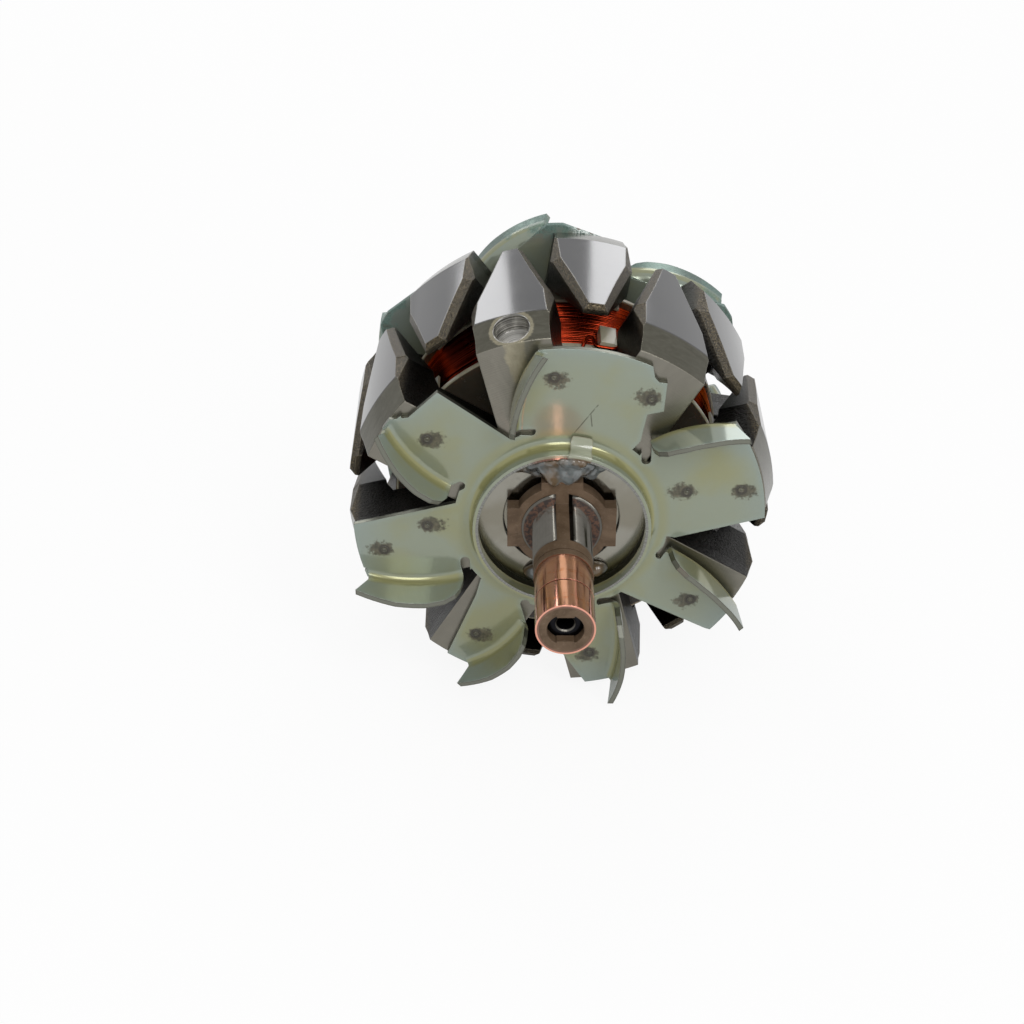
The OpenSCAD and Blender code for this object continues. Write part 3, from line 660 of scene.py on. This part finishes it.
def red_enamel(looks):
    """Varnished winding wire: deep red with copper glints where the varnish is thin, and painted
    shade away from the top of the coil.
    """
    mat, tree = start_material("red enamel")
    spot = point(tree)
    at = rotor_place(tree)
    per_turn = lines(tree, at.a, 0.85)
    run = cloud(tree, vector(tree, at.turn * 0.02, at.a * 1.2, at.r * 0.2), 1.0, 2.0, 0.6)
    pool = cloud(tree, spot, 120, 3.0, 0.6).rise(0.5, 0.7)
    # Painted shade: outside turns 74 to 106 degrees the wire is darkened towards a near black red.
    painted_light = at.turn.hump(50, 74, 106, 124) * 0.8 + 0.2
    colour = blend(per_turn * 0.5 + run * 0.5, (0.1, 0.006, 0.003), looks.enamel_colour)
    colour = blend(pool * 0.6, colour, (0.05, 0.006, 0.003))
    colour = blend(painted_light, (0.022, 0.003, 0.002), colour)
    return end_material(
        mat, colour, 1.0, 0.24 + pool * 0.1, run, 0.02, Specular_Tint=(1.0, 0.5, 0.36)
    )


def rusty_lug():
    """Rusty steel with bright spots."""
    mat, tree = start_material("rusty lug")
    spot = point(tree)
    crust = cloud(tree, spot, 1400, 4.0, 0.7)
    bright = cloud(tree, spot, 500, 3.0, 0.6).rise(0.55, 0.65)
    colour = blend(crust.rise(0.35, 0.65), (0.045, 0.024, 0.012), (0.2, 0.105, 0.05))
    colour = blend(bright * 0.5, colour, (0.5, 0.46, 0.4))
    metallic = 0.35 + bright * 0.6
    return end_material(mat, colour, metallic, 0.55 - bright * 0.3, crust, 0.12, edge=0.1)


MATERIALS = {}


def build_materials(looks):
    GROUPS["rotor place"] = rotor_place_group()
    GROUPS["turned lines"] = turned_lines_group()
    GROUPS["forged grain"] = forged_grain_group()
    GROUPS["sharp edge"] = sharp_edge_group()
    MATERIALS["pole"] = pole_iron(looks)
    MATERIALS["rear fan"] = fan_sheet(looks, "passivated sheet", 0.0, WELDS, False)
    MATERIALS["front fan"] = fan_sheet(looks, "corroded sheet", -BODY_L, front_welds(), True)
    MATERIALS["steel"] = turned_steel()
    MATERIALS["copper"] = turned_copper(looks)
    MATERIALS["moulding"] = brown_moulding()
    MATERIALS["resin"] = cloudy_resin()
    MATERIALS["nylon"] = cream_nylon(looks)
    MATERIALS["wire"] = red_enamel(looks)
    MATERIALS["lug"] = rusty_lug()


# Modelling by hand


def set_material(item, key):
    item.data.materials.clear()
    item.data.materials.append(MATERIALS[key])


def switch_mode(mode):
    bpy.ops.object.mode_set(mode=mode)


def clear_choice():
    """Leaves edit mode and deselects everything."""
    if bpy.context.object and bpy.context.object.mode != "OBJECT":
        switch_mode("OBJECT")
    bpy.ops.object.select_all(action="DESELECT")


def pick(*objects):
    """Selects only these objects; the last one is active."""
    clear_choice()
    for item in objects:
        item.select_set(True)
    bpy.context.view_layer.objects.active = objects[-1]


def join(items, name):
    """Joins objects into one piece with its place in its mesh."""
    pick(*items)
    if len(items) > 1:
        bpy.ops.object.join()
    made = bpy.context.object
    made.name = made.data.name = name
    pick(made)
    bpy.ops.object.transform_apply(location=True, rotation=True, scale=True)
    return made


def finish_piece(piece, key, slot, *stands_for):
    """Gives a piece its material and its body; the slot is not used."""
    set_material(piece, key)
    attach(piece, "root")
    if stands_for:
        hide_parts(*stands_for)


def select_top():
    """In edit mode, selects the faces that look up."""
    bpy.ops.mesh.select_all(action="DESELECT")
    switch_mode("OBJECT")
    for face in bpy.context.object.data.polygons:
        face.select = face.normal.z > 0.9
    switch_mode("EDIT")


def apply_modifier(item, kind, **settings):
    pick(item)
    made = item.modifiers.new(kind.lower(), kind)
    for key, value in settings.items():
        setattr(made, key, value)
    bpy.ops.object.modifier_apply(modifier=made.name)


def smooth(item, angle):
    """Shades a piece smooth, but for its edges over an angle in degrees."""
    pick(item)
    bpy.ops.object.shade_smooth_by_angle(angle=math.radians(angle))


# Settings


def tone(label, note, rgb):
    return bpy.props.FloatVectorProperty(
        name=label, description=note, default=rgb, size=3, subtype="COLOR"
    )


class RotorLooks(bpy.types.PropertyGroup):
    """Sizes and colours that a user may change."""

    wire: bpy.props.FloatProperty(
        name="Wire", description="Diameter of the winding wire", default=0.00086, unit="LENGTH"
    )
    weld_mark: bpy.props.FloatProperty(
        name="Weld mark", description="Radius of a spot weld mark", default=0.00105, unit="LENGTH"
    )
    thread_pitch: bpy.props.FloatProperty(
        name="Thread pitch", description="Pitch of the nut thread", default=0.0015, unit="LENGTH"
    )
    lamp_power: bpy.props.FloatProperty(
        name="Lamp power", description="Strength of the soft lamps", default=1.0, subtype="FACTOR"
    )
    claw_dark: tone("Claw dark", "Darker tone of the ground claw faces", (0.105, 0.106, 0.112))
    claw_light: tone("Claw light", "Lighter tone of the ground claw faces", (0.155, 0.154, 0.153))
    fan_colour: tone("Fan", "Grey-green of the fan sheet", (0.262, 0.29, 0.218))
    fan_edge: tone("Fan rim", "Bluish tone of the fan sheet near its rims", (0.255, 0.3, 0.27))
    fan_olive: tone("Fan bends", "Olive tone of the fan sheet in its bends", (0.28, 0.27, 0.115))
    copper_colour: tone("Copper", "Slip ring copper", (0.88, 0.44, 0.335))
    enamel_colour: tone("Enamel", "Enamel of the winding wire", (0.42, 0.045, 0.014))
    nylon_colour: tone("Bobbin", "Moulded nylon of the bobbin", (0.31, 0.275, 0.19))


def looks_of(context):
    return context.scene.rotor_looks


# Pieces


DRESSED = {
    "steel": ("shaft", "drive_spacer"),
    "pole": ("rear_pole_half", "front_pole_half"),
    "nylon": ("bobbin",),
    "wire": ("field_coil", "coil_tail"),
    "rear fan": ("rear_fan",),
    "front fan": ("front_fan",),
    "moulding": ("slip_ring_moulding",),
    "copper": ("outer_slip_ring", "inner_slip_ring"),
    "lug": ("top_terminal", "bottom_terminal"),
    "resin": ("top_resin_patch", "bottom_resin_patch", "left_resin_dab", "right_resin_dab"),
}


class ROTOR_OT_solids(bpy.types.Operator):
    """Dress the solids with their materials"""

    bl_idname = "rotor.solids"
    bl_label = "Solids"

    def execute(self, context):
        build_materials(looks_of(context))
        for key, names in DRESSED.items():
            for name in names:
                set_material(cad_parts[name], key)
        return {"FINISHED"}


# The winding falls away over this length at both ends, and each turn ripples by this much, in mm
CROWN_L = 7.0
RIPPLE = 0.08
WINDING_SEED = 7


def crown(a):
    """Outer radius of the winding, in mm, at a place along the axis."""
    edge = min(COIL_A - a, a - COIL_B)
    return COIL_R - COIL_DROP * max(0.0, 1 - edge / CROWN_L) ** 2


def loosen(ring, k, r, rng):
    """Lets turn k of the winding, of radius r in mm, sink, ripple and sway a little."""
    phase, sway = rng.uniform(0, 0.6) + k * 0.15, rng.uniform(0.1, 0.14) * MM
    sink = rng.uniform(-0.12, 0.0) * MM
    for vertex in ring.data.vertices:
        t = math.atan2(vertex.co.y, vertex.co.x)
        wave = noise.noise(Vector((2 * math.cos(t), 2 * math.sin(t), k * 0.7)))
        lift = sink + RIPPLE * MM * wave - RIPPLE * MM
        grow = 1 + lift / (r * MM)
        vertex.co.x *= grow
        vertex.co.y *= grow
        vertex.co.z += sway * math.sin(3 * t + phase)


class ROTOR_OT_winding(bpy.types.Operator):
    """Wind the field coil turn by turn"""

    bl_idname = "rotor.winding"
    bl_label = "Winding"

    def execute(self, context):
        rng = random.Random(WINDING_SEED)
        wire = looks_of(context).wire / MM
        made = []
        bpy.ops.object.select_all(action="DESELECT")
        for k in range(int((COIL_A - COIL_B) / wire)):
            a = COIL_A - (k + 0.5) * wire
            r = crown(a) - wire / 2
            bpy.ops.mesh.primitive_torus_add(
                major_radius=r * MM, minor_radius=wire * 0.52 * MM,
                major_segments=144, minor_segments=8,
                location=(0, along(a), 0), rotation=(math.pi / 2, 0, rng.uniform(0, 0.04)),
            )
            ring = bpy.context.object
            loosen(ring, k, r, rng)
            made.append(ring)
        bpy.ops.mesh.primitive_cylinder_add(
            vertices=96, radius=(COIL_R - COIL_DROP - wire) * MM, depth=(COIL_A - COIL_B) * MM,
            location=(0, along((COIL_A + COIL_B) / 2), 0), rotation=(math.pi / 2, 0, 0),
        )
        core = bpy.context.object
        winding = join(made + [core], "winding")
        smooth(winding, 60)
        finish_piece(winding, "wire", "coil_wire", "field_coil")
        return {"FINISHED"}


# Steps of a weld mark from its rim inwards: width as a share of its radius, and climb in mm
WELD_STEPS = ((0.16, 0.05), (0.22, -0.02), (0.14, -0.1), (0.12, 0.0), (0.1, 0.1), (0.12, 0.02))


def weld_mark(size):
    """A raised ring round a crater, with a nub in its middle."""
    bpy.ops.object.select_all(action="DESELECT")
    bpy.ops.mesh.primitive_cylinder_add(
        vertices=28, radius=size, depth=0.1 * MM, location=(0, 0, 0.03 * MM)
    )
    switch_mode("EDIT")
    select_top()
    for width, climb in WELD_STEPS:
        bpy.ops.mesh.inset(thickness=size * width, depth=climb * MM)
    switch_mode("OBJECT")
    return bpy.context.object


class ROTOR_OT_weld_marks(bpy.types.Operator):
    """Set the spot weld marks on both fans"""

    bl_idname = "rotor.weld_marks"
    bl_label = "Weld marks"

    def execute(self, context):
        for name, spots, face, out, key in (
            ("rear_weld_marks", WELDS, SHEET_T, 1, "rear fan"),
            ("front_weld_marks", front_welds(), -BODY_L - SHEET_T, -1, "front fan"),
        ):
            mark = weld_mark(looks_of(context).weld_mark)
            copies = []
            for weld_r, weld_turn in spots:
                twin = mark.copy()
                twin.data = mark.data.copy()
                context.collection.objects.link(twin)
                twin.location = polar(weld_r, weld_turn, face)
                twin.rotation_euler = (math.pi / 2 * out, 0, 0)
                copies.append(twin)
            bpy.data.objects.remove(mark, do_unlink=True)
            piece = join(copies, name)
            smooth(piece, 50)
            finish_piece(piece, key, "fan_steel")
        return {"FINISHED"}


# The shaft is cut in its undercut, just before the thread, and its end is made anew in many rings
SHAFT_CUT = THREAD_START + 1.1
THREAD_RINGS = 88
# Centre drilling: radius in the end face, inset and depth of its cone, and depth beyond the cone
CENTRE_R, CONE_INSET, CONE_DEPTH, CENTRE_DEPTH = 2.3, 1.15, 2.3, 4.0


def cut_shaft(context):
    """Makes a copy of the shaft that stops in the undercut."""
    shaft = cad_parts["shaft"].copy()
    shaft.data = shaft.data.copy()
    context.collection.objects.link(shaft)
    shaft.name = shaft.data.name = "shaft_body"
    pick(shaft)
    switch_mode("EDIT")
    bpy.ops.mesh.select_all(action="SELECT")
    bpy.ops.mesh.remove_doubles(threshold=0.005 * MM)
    bpy.ops.mesh.select_all(action="SELECT")
    bpy.ops.mesh.bisect(
        plane_co=(0, along(SHAFT_CUT), 0), plane_no=(0, 1, 0), use_fill=True, clear_outer=True
    )
    switch_mode("OBJECT")
    smooth(shaft, 30)
    finish_piece(shaft, "steel", "shaft_steel", "shaft")


def ringed_bar(length):
    """A bar of many rings along Z, with the centre drilling in its upper end."""
    clear_choice()
    step = length / THREAD_RINGS * MM
    bpy.ops.mesh.primitive_cylinder_add(
        vertices=64, radius=UNDERCUT_R * MM, depth=step, end_fill_type="NGON"
    )
    switch_mode("EDIT")
    select_top()
    for _ in range(THREAD_RINGS - 1):
        bpy.ops.mesh.extrude_region_move(TRANSFORM_OT_translate={"value": (0, 0, step)})
    bpy.ops.mesh.inset(thickness=(UNDERCUT_R - CENTRE_R) * MM)
    bpy.ops.mesh.inset(thickness=CONE_INSET * MM, depth=-CONE_DEPTH * MM)
    bpy.ops.mesh.extrude_region_move(TRANSFORM_OT_translate={"value": (0, 0, -CENTRE_DEPTH * MM)})
    switch_mode("OBJECT")
    return bpy.context.object


def thread_radius(deep, share, pitch, length):
    """Radius, in mm, so many mm beyond the cut and at a share of a whole turn."""
    run_in = SHAFT_CUT - THREAD_START
    saw = abs(((deep / pitch - share) % 1.0) * 2 - 1)
    crest = THREAD_R - 0.92 * pitch * 0.6 * max(0.0, min(1.0, 1.25 * saw - 0.12))
    if deep < run_in - 0.01:
        crest = UNDERCUT_R
    chamfers = max(0.0, run_in + 0.5 - deep), max(0.0, deep - length + 1.0)
    return min(crest, *(THREAD_R - chamfer for chamfer in chamfers))


class ROTOR_OT_threaded_end(bpy.types.Operator):
    """Cut the nut thread on the drive end of the shaft"""

    bl_idname = "rotor.threaded_end"
    bl_label = "Threaded end"

    def execute(self, context):
        pitch = looks_of(context).thread_pitch / MM
        cut_shaft(context)
        length = SHAFT_CUT - SHAFT_END
        thread = ringed_bar(length)
        start = min(vertex.co.z for vertex in thread.data.vertices)
        for vertex in thread.data.vertices:
            x, y, z = vertex.co
            r = math.hypot(x, y) / MM
            if r < UNDERCUT_R - 0.1:
                continue
            share = math.atan2(y, x) / (2 * math.pi)
            crest = thread_radius((z - start) / MM, share, pitch, length)
            vertex.co.x, vertex.co.y = x / r * crest, y / r * crest
        thread.rotation_euler = (-math.pi / 2, 0, 0)
        thread.location = (0, along(SHAFT_CUT) - start, 0)
        piece = join([thread], "threaded_end")
        smooth(piece, 25)
        finish_piece(piece, "steel", "shaft_steel")
        return {"FINISHED"}


# For each lump of resin, the solid that it stands for and its drops: radius, turn, size and, for
# some, height over the pole face
BLOBS = {
    "top_resin": (
        "top_resin_patch",
        [
            (15.6, 62, 2.0), (17.4, 66, 2.6), (18.7, 58, 1.8), (16.2, 74, 2.6), (18.0, 78, 2.6),
            (15.6, 86, 2.8), (17.6, 92, 2.8), (16.0, 100, 2.8), (18.0, 106, 2.6), (16.4, 112, 2.4),
            (18.4, 118, 2.2), (19.2, 126, 1.7), (14.6, 94, 2.2, 2.6), (14.2, 84, 1.7, 4.0),
            (13.9, 99, 1.7, 4.0), (15.6, 80, 2.0, 3.6), (15.8, 90, 2.1, 3.6), (15.6, 101, 2.0, 3.6),
            (17.8, 72, 1.8, 3.6), (18.0, 82, 2.1, 3.8), (18.0, 94, 2.2, 3.8), (17.8, 105, 1.9, 3.6),
            (19.0, 114, 1.5, 2.6), (19.8, 70, 1.6, 4.2), (19.9, 79, 1.8, 4.8), (19.9, 88, 1.8, 5.0),
            (19.9, 97, 1.7, 4.6), (19.8, 106, 1.6, 4.2), (19.8, 114, 1.4, 3.4),
            (20.2, 123, 1.3, 2.6), (20.9, 76, 1.1, 6.1), (20.9, 83, 1.2, 6.2), (20.9, 91, 1.1, 6.1),
        ],
    ),
    "bottom_resin": (
        "bottom_resin_patch",
        [
            (15.2, 262, 2.2), (16.6, 256, 2.1), (17.6, 268, 2.0), (15.4, 278, 2.3),
            (17.2, 284, 2.1), (18.6, 276, 1.6), (18.4, 260, 1.6),
        ],
    ),
    "left_resin": (
        "left_resin_dab", [(17.6, 247, 2.3), (18.4, 243, 1.7), (16.6, 251, 1.7), (18.9, 250, 1.5)]
    ),
    "right_resin": ("right_resin_dab", [(17.9, 301, 2.3), (18.7, 305, 1.6), (16.9, 298, 1.6)]),
}

# Radius, height over the pole face and half width in degrees of the film that hangs over the
# collar, row by row from the inside
FILM = (
    (20.6, 4.6, 9.0), (21.0, 6.1, 8.5), (22.0, 6.45, 8.0), (22.85, 5.9, 7.5), (22.95, 4.6, 7.2),
    (23.3, 3.4, 6.8), (24.6, 2.5, 6.2), (25.8, 2.0, 5.6),
)
FILM_TURN = 79.0

# Below the lip, resin up to so many mm beyond this radius is squeezed to stay inside the collar
SQUEEZE_R, SQUEEZE_FROM, SQUEEZE_TO = HUB_R - 0.6, 1.3, 0.55
# The underside of the resin is pressed flat against the pole face, at this height over it
SEAT_A, SEAT_FLATNESS = 0.02, 0.015


def resin_film():
    """A thin film of resin from inside the collar over its lip."""
    clear_choice()
    rows = len(FILM)
    bpy.ops.mesh.primitive_grid_add(x_subdivisions=10, y_subdivisions=rows - 1, size=1.0)
    film = bpy.context.object
    for vertex in film.data.vertices:
        r, height, half = FILM[round((vertex.co.y + 0.5) * (rows - 1))]
        sway = 1 + 0.25 * noise.noise(Vector((vertex.co.y * 3, vertex.co.x * 2, 1.7)))
        vertex.co = polar(r, FILM_TURN + vertex.co.x * 2 * half * sway, height)
    apply_modifier(film, "SUBSURF", levels=2, render_levels=2)
    apply_modifier(film, "SOLIDIFY", thickness=0.3 * MM, offset=0.0)
    pick(film)
    switch_mode("EDIT")
    bpy.ops.mesh.select_all(action="SELECT")
    bpy.ops.mesh.normals_make_consistent(inside=False)
    switch_mode("OBJECT")
    return film


def melted_drops(name, drops):
    """Runs drops together into one lump with an uneven skin."""
    clear_choice()
    made = []
    for r, turn, size, *up in drops:
        place = polar(r, turn, up[0] if up else size * 0.35)
        bpy.ops.mesh.primitive_ico_sphere_add(subdivisions=3, radius=size * MM, location=place)
        made.append(bpy.context.object)
    blob = join(made, name)
    apply_modifier(blob, "REMESH", mode="VOXEL", voxel_size=0.35 * MM)
    apply_modifier(blob, "SMOOTH", factor=0.6, iterations=30)
    for vertex in blob.data.vertices:
        spot = vertex.co / MM
        vertex.co += vertex.normal * 0.3 * MM * noise.noise(spot * 0.3)
    return blob


def seat_resin(blob):
    """Presses a lump flat on the pole face and squeezes it into the collar."""
    for vertex in blob.data.vertices:
        below = SEAT_A - (JOURNAL_MID - vertex.co.y / MM)
        if below > 0:
            vertex.co.y = along(SEAT_A - below * SEAT_FLATNESS)
        r = math.hypot(vertex.co.x, vertex.co.z) / MM
        if SQUEEZE_R < r < SQUEEZE_R + SQUEEZE_FROM and vertex.co.y > along(HUB_H):
            squeezed = SQUEEZE_R + (r - SQUEEZE_R) * SQUEEZE_TO / SQUEEZE_FROM
            vertex.co.x *= squeezed / r
            vertex.co.z *= squeezed / r


class ROTOR_OT_resin(bpy.types.Operator):
    """Pour the resin round the leads and the two dabs"""

    bl_idname = "rotor.resin"
    bl_label = "Resin"

    def execute(self, context):
        for name, (node_name, drops) in BLOBS.items():
            blob = melted_drops(name, drops)
            seat_resin(blob)
            if name == "top_resin":
                blob = join([resin_film(), blob], name)
            smooth(blob, 60)
            finish_piece(blob, "resin", "dab_resin", node_name)
        return {"FINISHED"}


# Radius, turn and place along of the points that the wire's end runs through, loop and descent
LEAD_WAY = (
    (42.0, 83.6, -12.8), (43.3, 82.7, -14.4), (43.7, 81.6, -16.3), (43.7, 80.5, -16.7),
    (43.6, 79.6, -15.0), (43.5, 79.0, -13.3), (43.5, 77.2, -12.9), (43.6, 75.0, -12.9),
    (43.8, 73.0, -13.0), (43.9, 71.5, -14.6), (43.8, 71.2, -17.6), (43.2, 71.3, -20.5),
    (42.2, 71.8, -23.4), (41.5, 73.0, -26.4),
)


class ROTOR_OT_lead_wire(bpy.types.Operator):
    """Loop the end of the winding wire round its post"""

    bl_idname = "rotor.lead_wire"
    bl_label = "Lead wire"

    def execute(self, context):
        clear_choice()
        bpy.ops.curve.primitive_bezier_curve_add()
        lead = bpy.context.object
        lead.data.splines.clear()
        spline = lead.data.splines.new("BEZIER")
        spline.bezier_points.add(len(LEAD_WAY) - 1)
        for spot, place in zip(spline.bezier_points, LEAD_WAY):
            spot.co = polar(*place)
            spot.handle_left_type = spot.handle_right_type = "AUTO"
        lead.location = (0, 0, 0)
        lead.data.bevel_depth = looks_of(context).wire * 0.56
        lead.data.bevel_resolution = 4
        lead.data.resolution_u = 10
        lead.data.use_fill_caps = True
        pick(lead)
        bpy.ops.object.convert(target="MESH")
        piece = join([bpy.context.object], "lead_wire")
        smooth(piece, 60)
        finish_piece(piece, "wire", "coil_wire", "coil_tail")
        return {"FINISHED"}


# Stage


CAMERA_PLACE = (-0.0126, -0.4074, 0.2799)
CAMERA_TILT = 56.5
CAMERA_LENS = 69.54
# Share of glow in the floor, to the camera and in mirrors
FLOOR_SEEN, FLOOR_MIRRORED = 0.9, 0.4
# Strength of the world, and what is added to it for the camera and in mirrors
WORLD_BASE, WORLD_SEEN, WORLD_MIRRORED = 0.55, 0.45, 0.3
# Azimuth and height in degrees, distance and size in metres, and power in watts
LAMPS = {
    "right strip lamp": (16.5, 30, 1.1, (0.23, 0.6), 1.25),
    "left strip lamp": (-21.2, 30, 1.1, (0.26, 0.6), 1.35),
    "right front lamp": (146, 42, 1.35, (0.36, 0.75), 5.2),
    "left front lamp": (182, 42, 1.35, (0.36, 0.75), 4.8),
}


def add_camera(scene):
    cam = bpy.data.cameras.new("camera")
    cam.lens = CAMERA_LENS
    cam.sensor_width = 36.0
    cam.clip_start = 0.01
    view = bpy.data.objects.new("camera", cam)
    scene.collection.objects.link(view)
    view.location = CAMERA_PLACE
    view.rotation_euler = (math.radians(CAMERA_TILT), 0.0, 0.0)
    scene.camera = view


def light_path(tree):
    """Masks of the rays that come from the camera, from a mirror and through clear things."""
    path = add_node(tree, "LightPath")
    kinds = ("Is Camera Ray", "Is Glossy Ray", "Is Transmission Ray")
    return [Field(tree, path.outputs[kind]) for kind in kinds]


def add_floor():
    """A white floor that looks evenly lit to the camera."""
    clear_choice()
    bpy.ops.mesh.primitive_plane_add(size=8.0, location=(0, 0, SOLID_BOX[0][2]))
    floor = bpy.context.object
    floor.name = "floor"
    mat, tree = start_material("white floor")
    paper = add_node(tree, "BsdfDiffuse", Color=(0.88, 0.88, 0.88))
    glow = add_node(tree, "Emission")
    seen, mirrored, _ = light_path(tree)
    share = (seen * FLOOR_SEEN).top(mirrored * FLOOR_MIRRORED)
    mix = add_node(tree, "MixShader", Fac=share)
    out = add_node(tree, "OutputMaterial")
    tree.links.new(paper.outputs[0], mix.inputs[1])
    tree.links.new(glow.outputs[0], mix.inputs[2])
    tree.links.new(mix.outputs[0], out.inputs["Surface"])
    floor.data.materials.append(mat)


def add_world(scene):
    """White surroundings, brighter to the camera than in mirrors and on matt things."""
    world = bpy.data.worlds.new("studio")
    scene.world = world
    world.use_nodes = True
    tree = world.node_tree
    back = tree.nodes["Background"]
    back.inputs["Color"].default_value = (1, 1, 1, 1)
    seen, mirrored, through = light_path(tree)
    strength = seen.top(through) * WORLD_SEEN + mirrored * WORLD_MIRRORED + WORLD_BASE
    plug(tree, strength, back.inputs["Strength"])


def soft_lamp(name, azimuth, height, distance, size, power):
    """A rectangular lamp aimed at the rotor; azimuth 0 is behind it, positive to the right."""
    side, up = math.radians(azimuth), math.radians(height)
    way = Vector((math.sin(side) * math.cos(up), math.cos(side) * math.cos(up), math.sin(up)))
    place = way * distance
    data = bpy.data.lights.new(name, "AREA")
    data.shape = "RECTANGLE"
    data.size, data.size_y = size
    data.energy = power
    made = bpy.data.objects.new(name, data)
    bpy.context.scene.collection.objects.link(made)
    made.location = place
    made.rotation_euler = (-place).to_track_quat("-Z", "Y").to_euler()


class ROTOR_OT_stage(bpy.types.Operator):
    """Add the camera, the lamps, the floor and the world"""

    bl_idname = "rotor.stage"
    bl_label = "Stage"

    def execute(self, context):
        scene = context.scene
        scene.view_settings.view_transform = "Standard"
        add_camera(scene)
        add_floor()
        add_world(scene)
        strength = looks_of(context).lamp_power
        for name, (azimuth, height, distance, size, power) in LAMPS.items():
            soft_lamp(name, azimuth, height, distance, size, power * strength)
        return {"FINISHED"}


class ROTOR_PT_panel(bpy.types.Panel):
    """Lists the steps that dress the rotor"""

    bl_idname = "ROTOR_PT_panel"
    bl_label = "Rotor"
    bl_space_type = "VIEW_3D"
    bl_region_type = "UI"
    bl_category = "Rotor"

    def draw(self, context):
        looks = looks_of(context)
        for key in looks.__annotations__:
            self.layout.prop(looks, key)
        for step in STEPS:
            self.layout.operator(step.bl_idname)


STEPS = (
    ROTOR_OT_solids,
    ROTOR_OT_winding,
    ROTOR_OT_lead_wire,
    ROTOR_OT_weld_marks,
    ROTOR_OT_threaded_end,
    ROTOR_OT_resin,
    ROTOR_OT_stage,
)
CLASSES = (RotorLooks, *STEPS, ROTOR_PT_panel)


def register():
    for item in CLASSES:
        bpy.utils.register_class(item)
    bpy.types.Scene.rotor_looks = bpy.props.PointerProperty(type=RotorLooks)


def unregister():
    del bpy.types.Scene.rotor_looks
    for item in reversed(CLASSES):
        bpy.utils.unregister_class(item)


def main():
    register()
    bpy.ops.rotor.solids()
    bpy.ops.rotor.winding()
    bpy.ops.rotor.lead_wire()
    bpy.ops.rotor.weld_marks()
    bpy.ops.rotor.threaded_end()
    bpy.ops.rotor.resin()
    bpy.ops.rotor.stage()


if __name__ == "__main__":
    main()
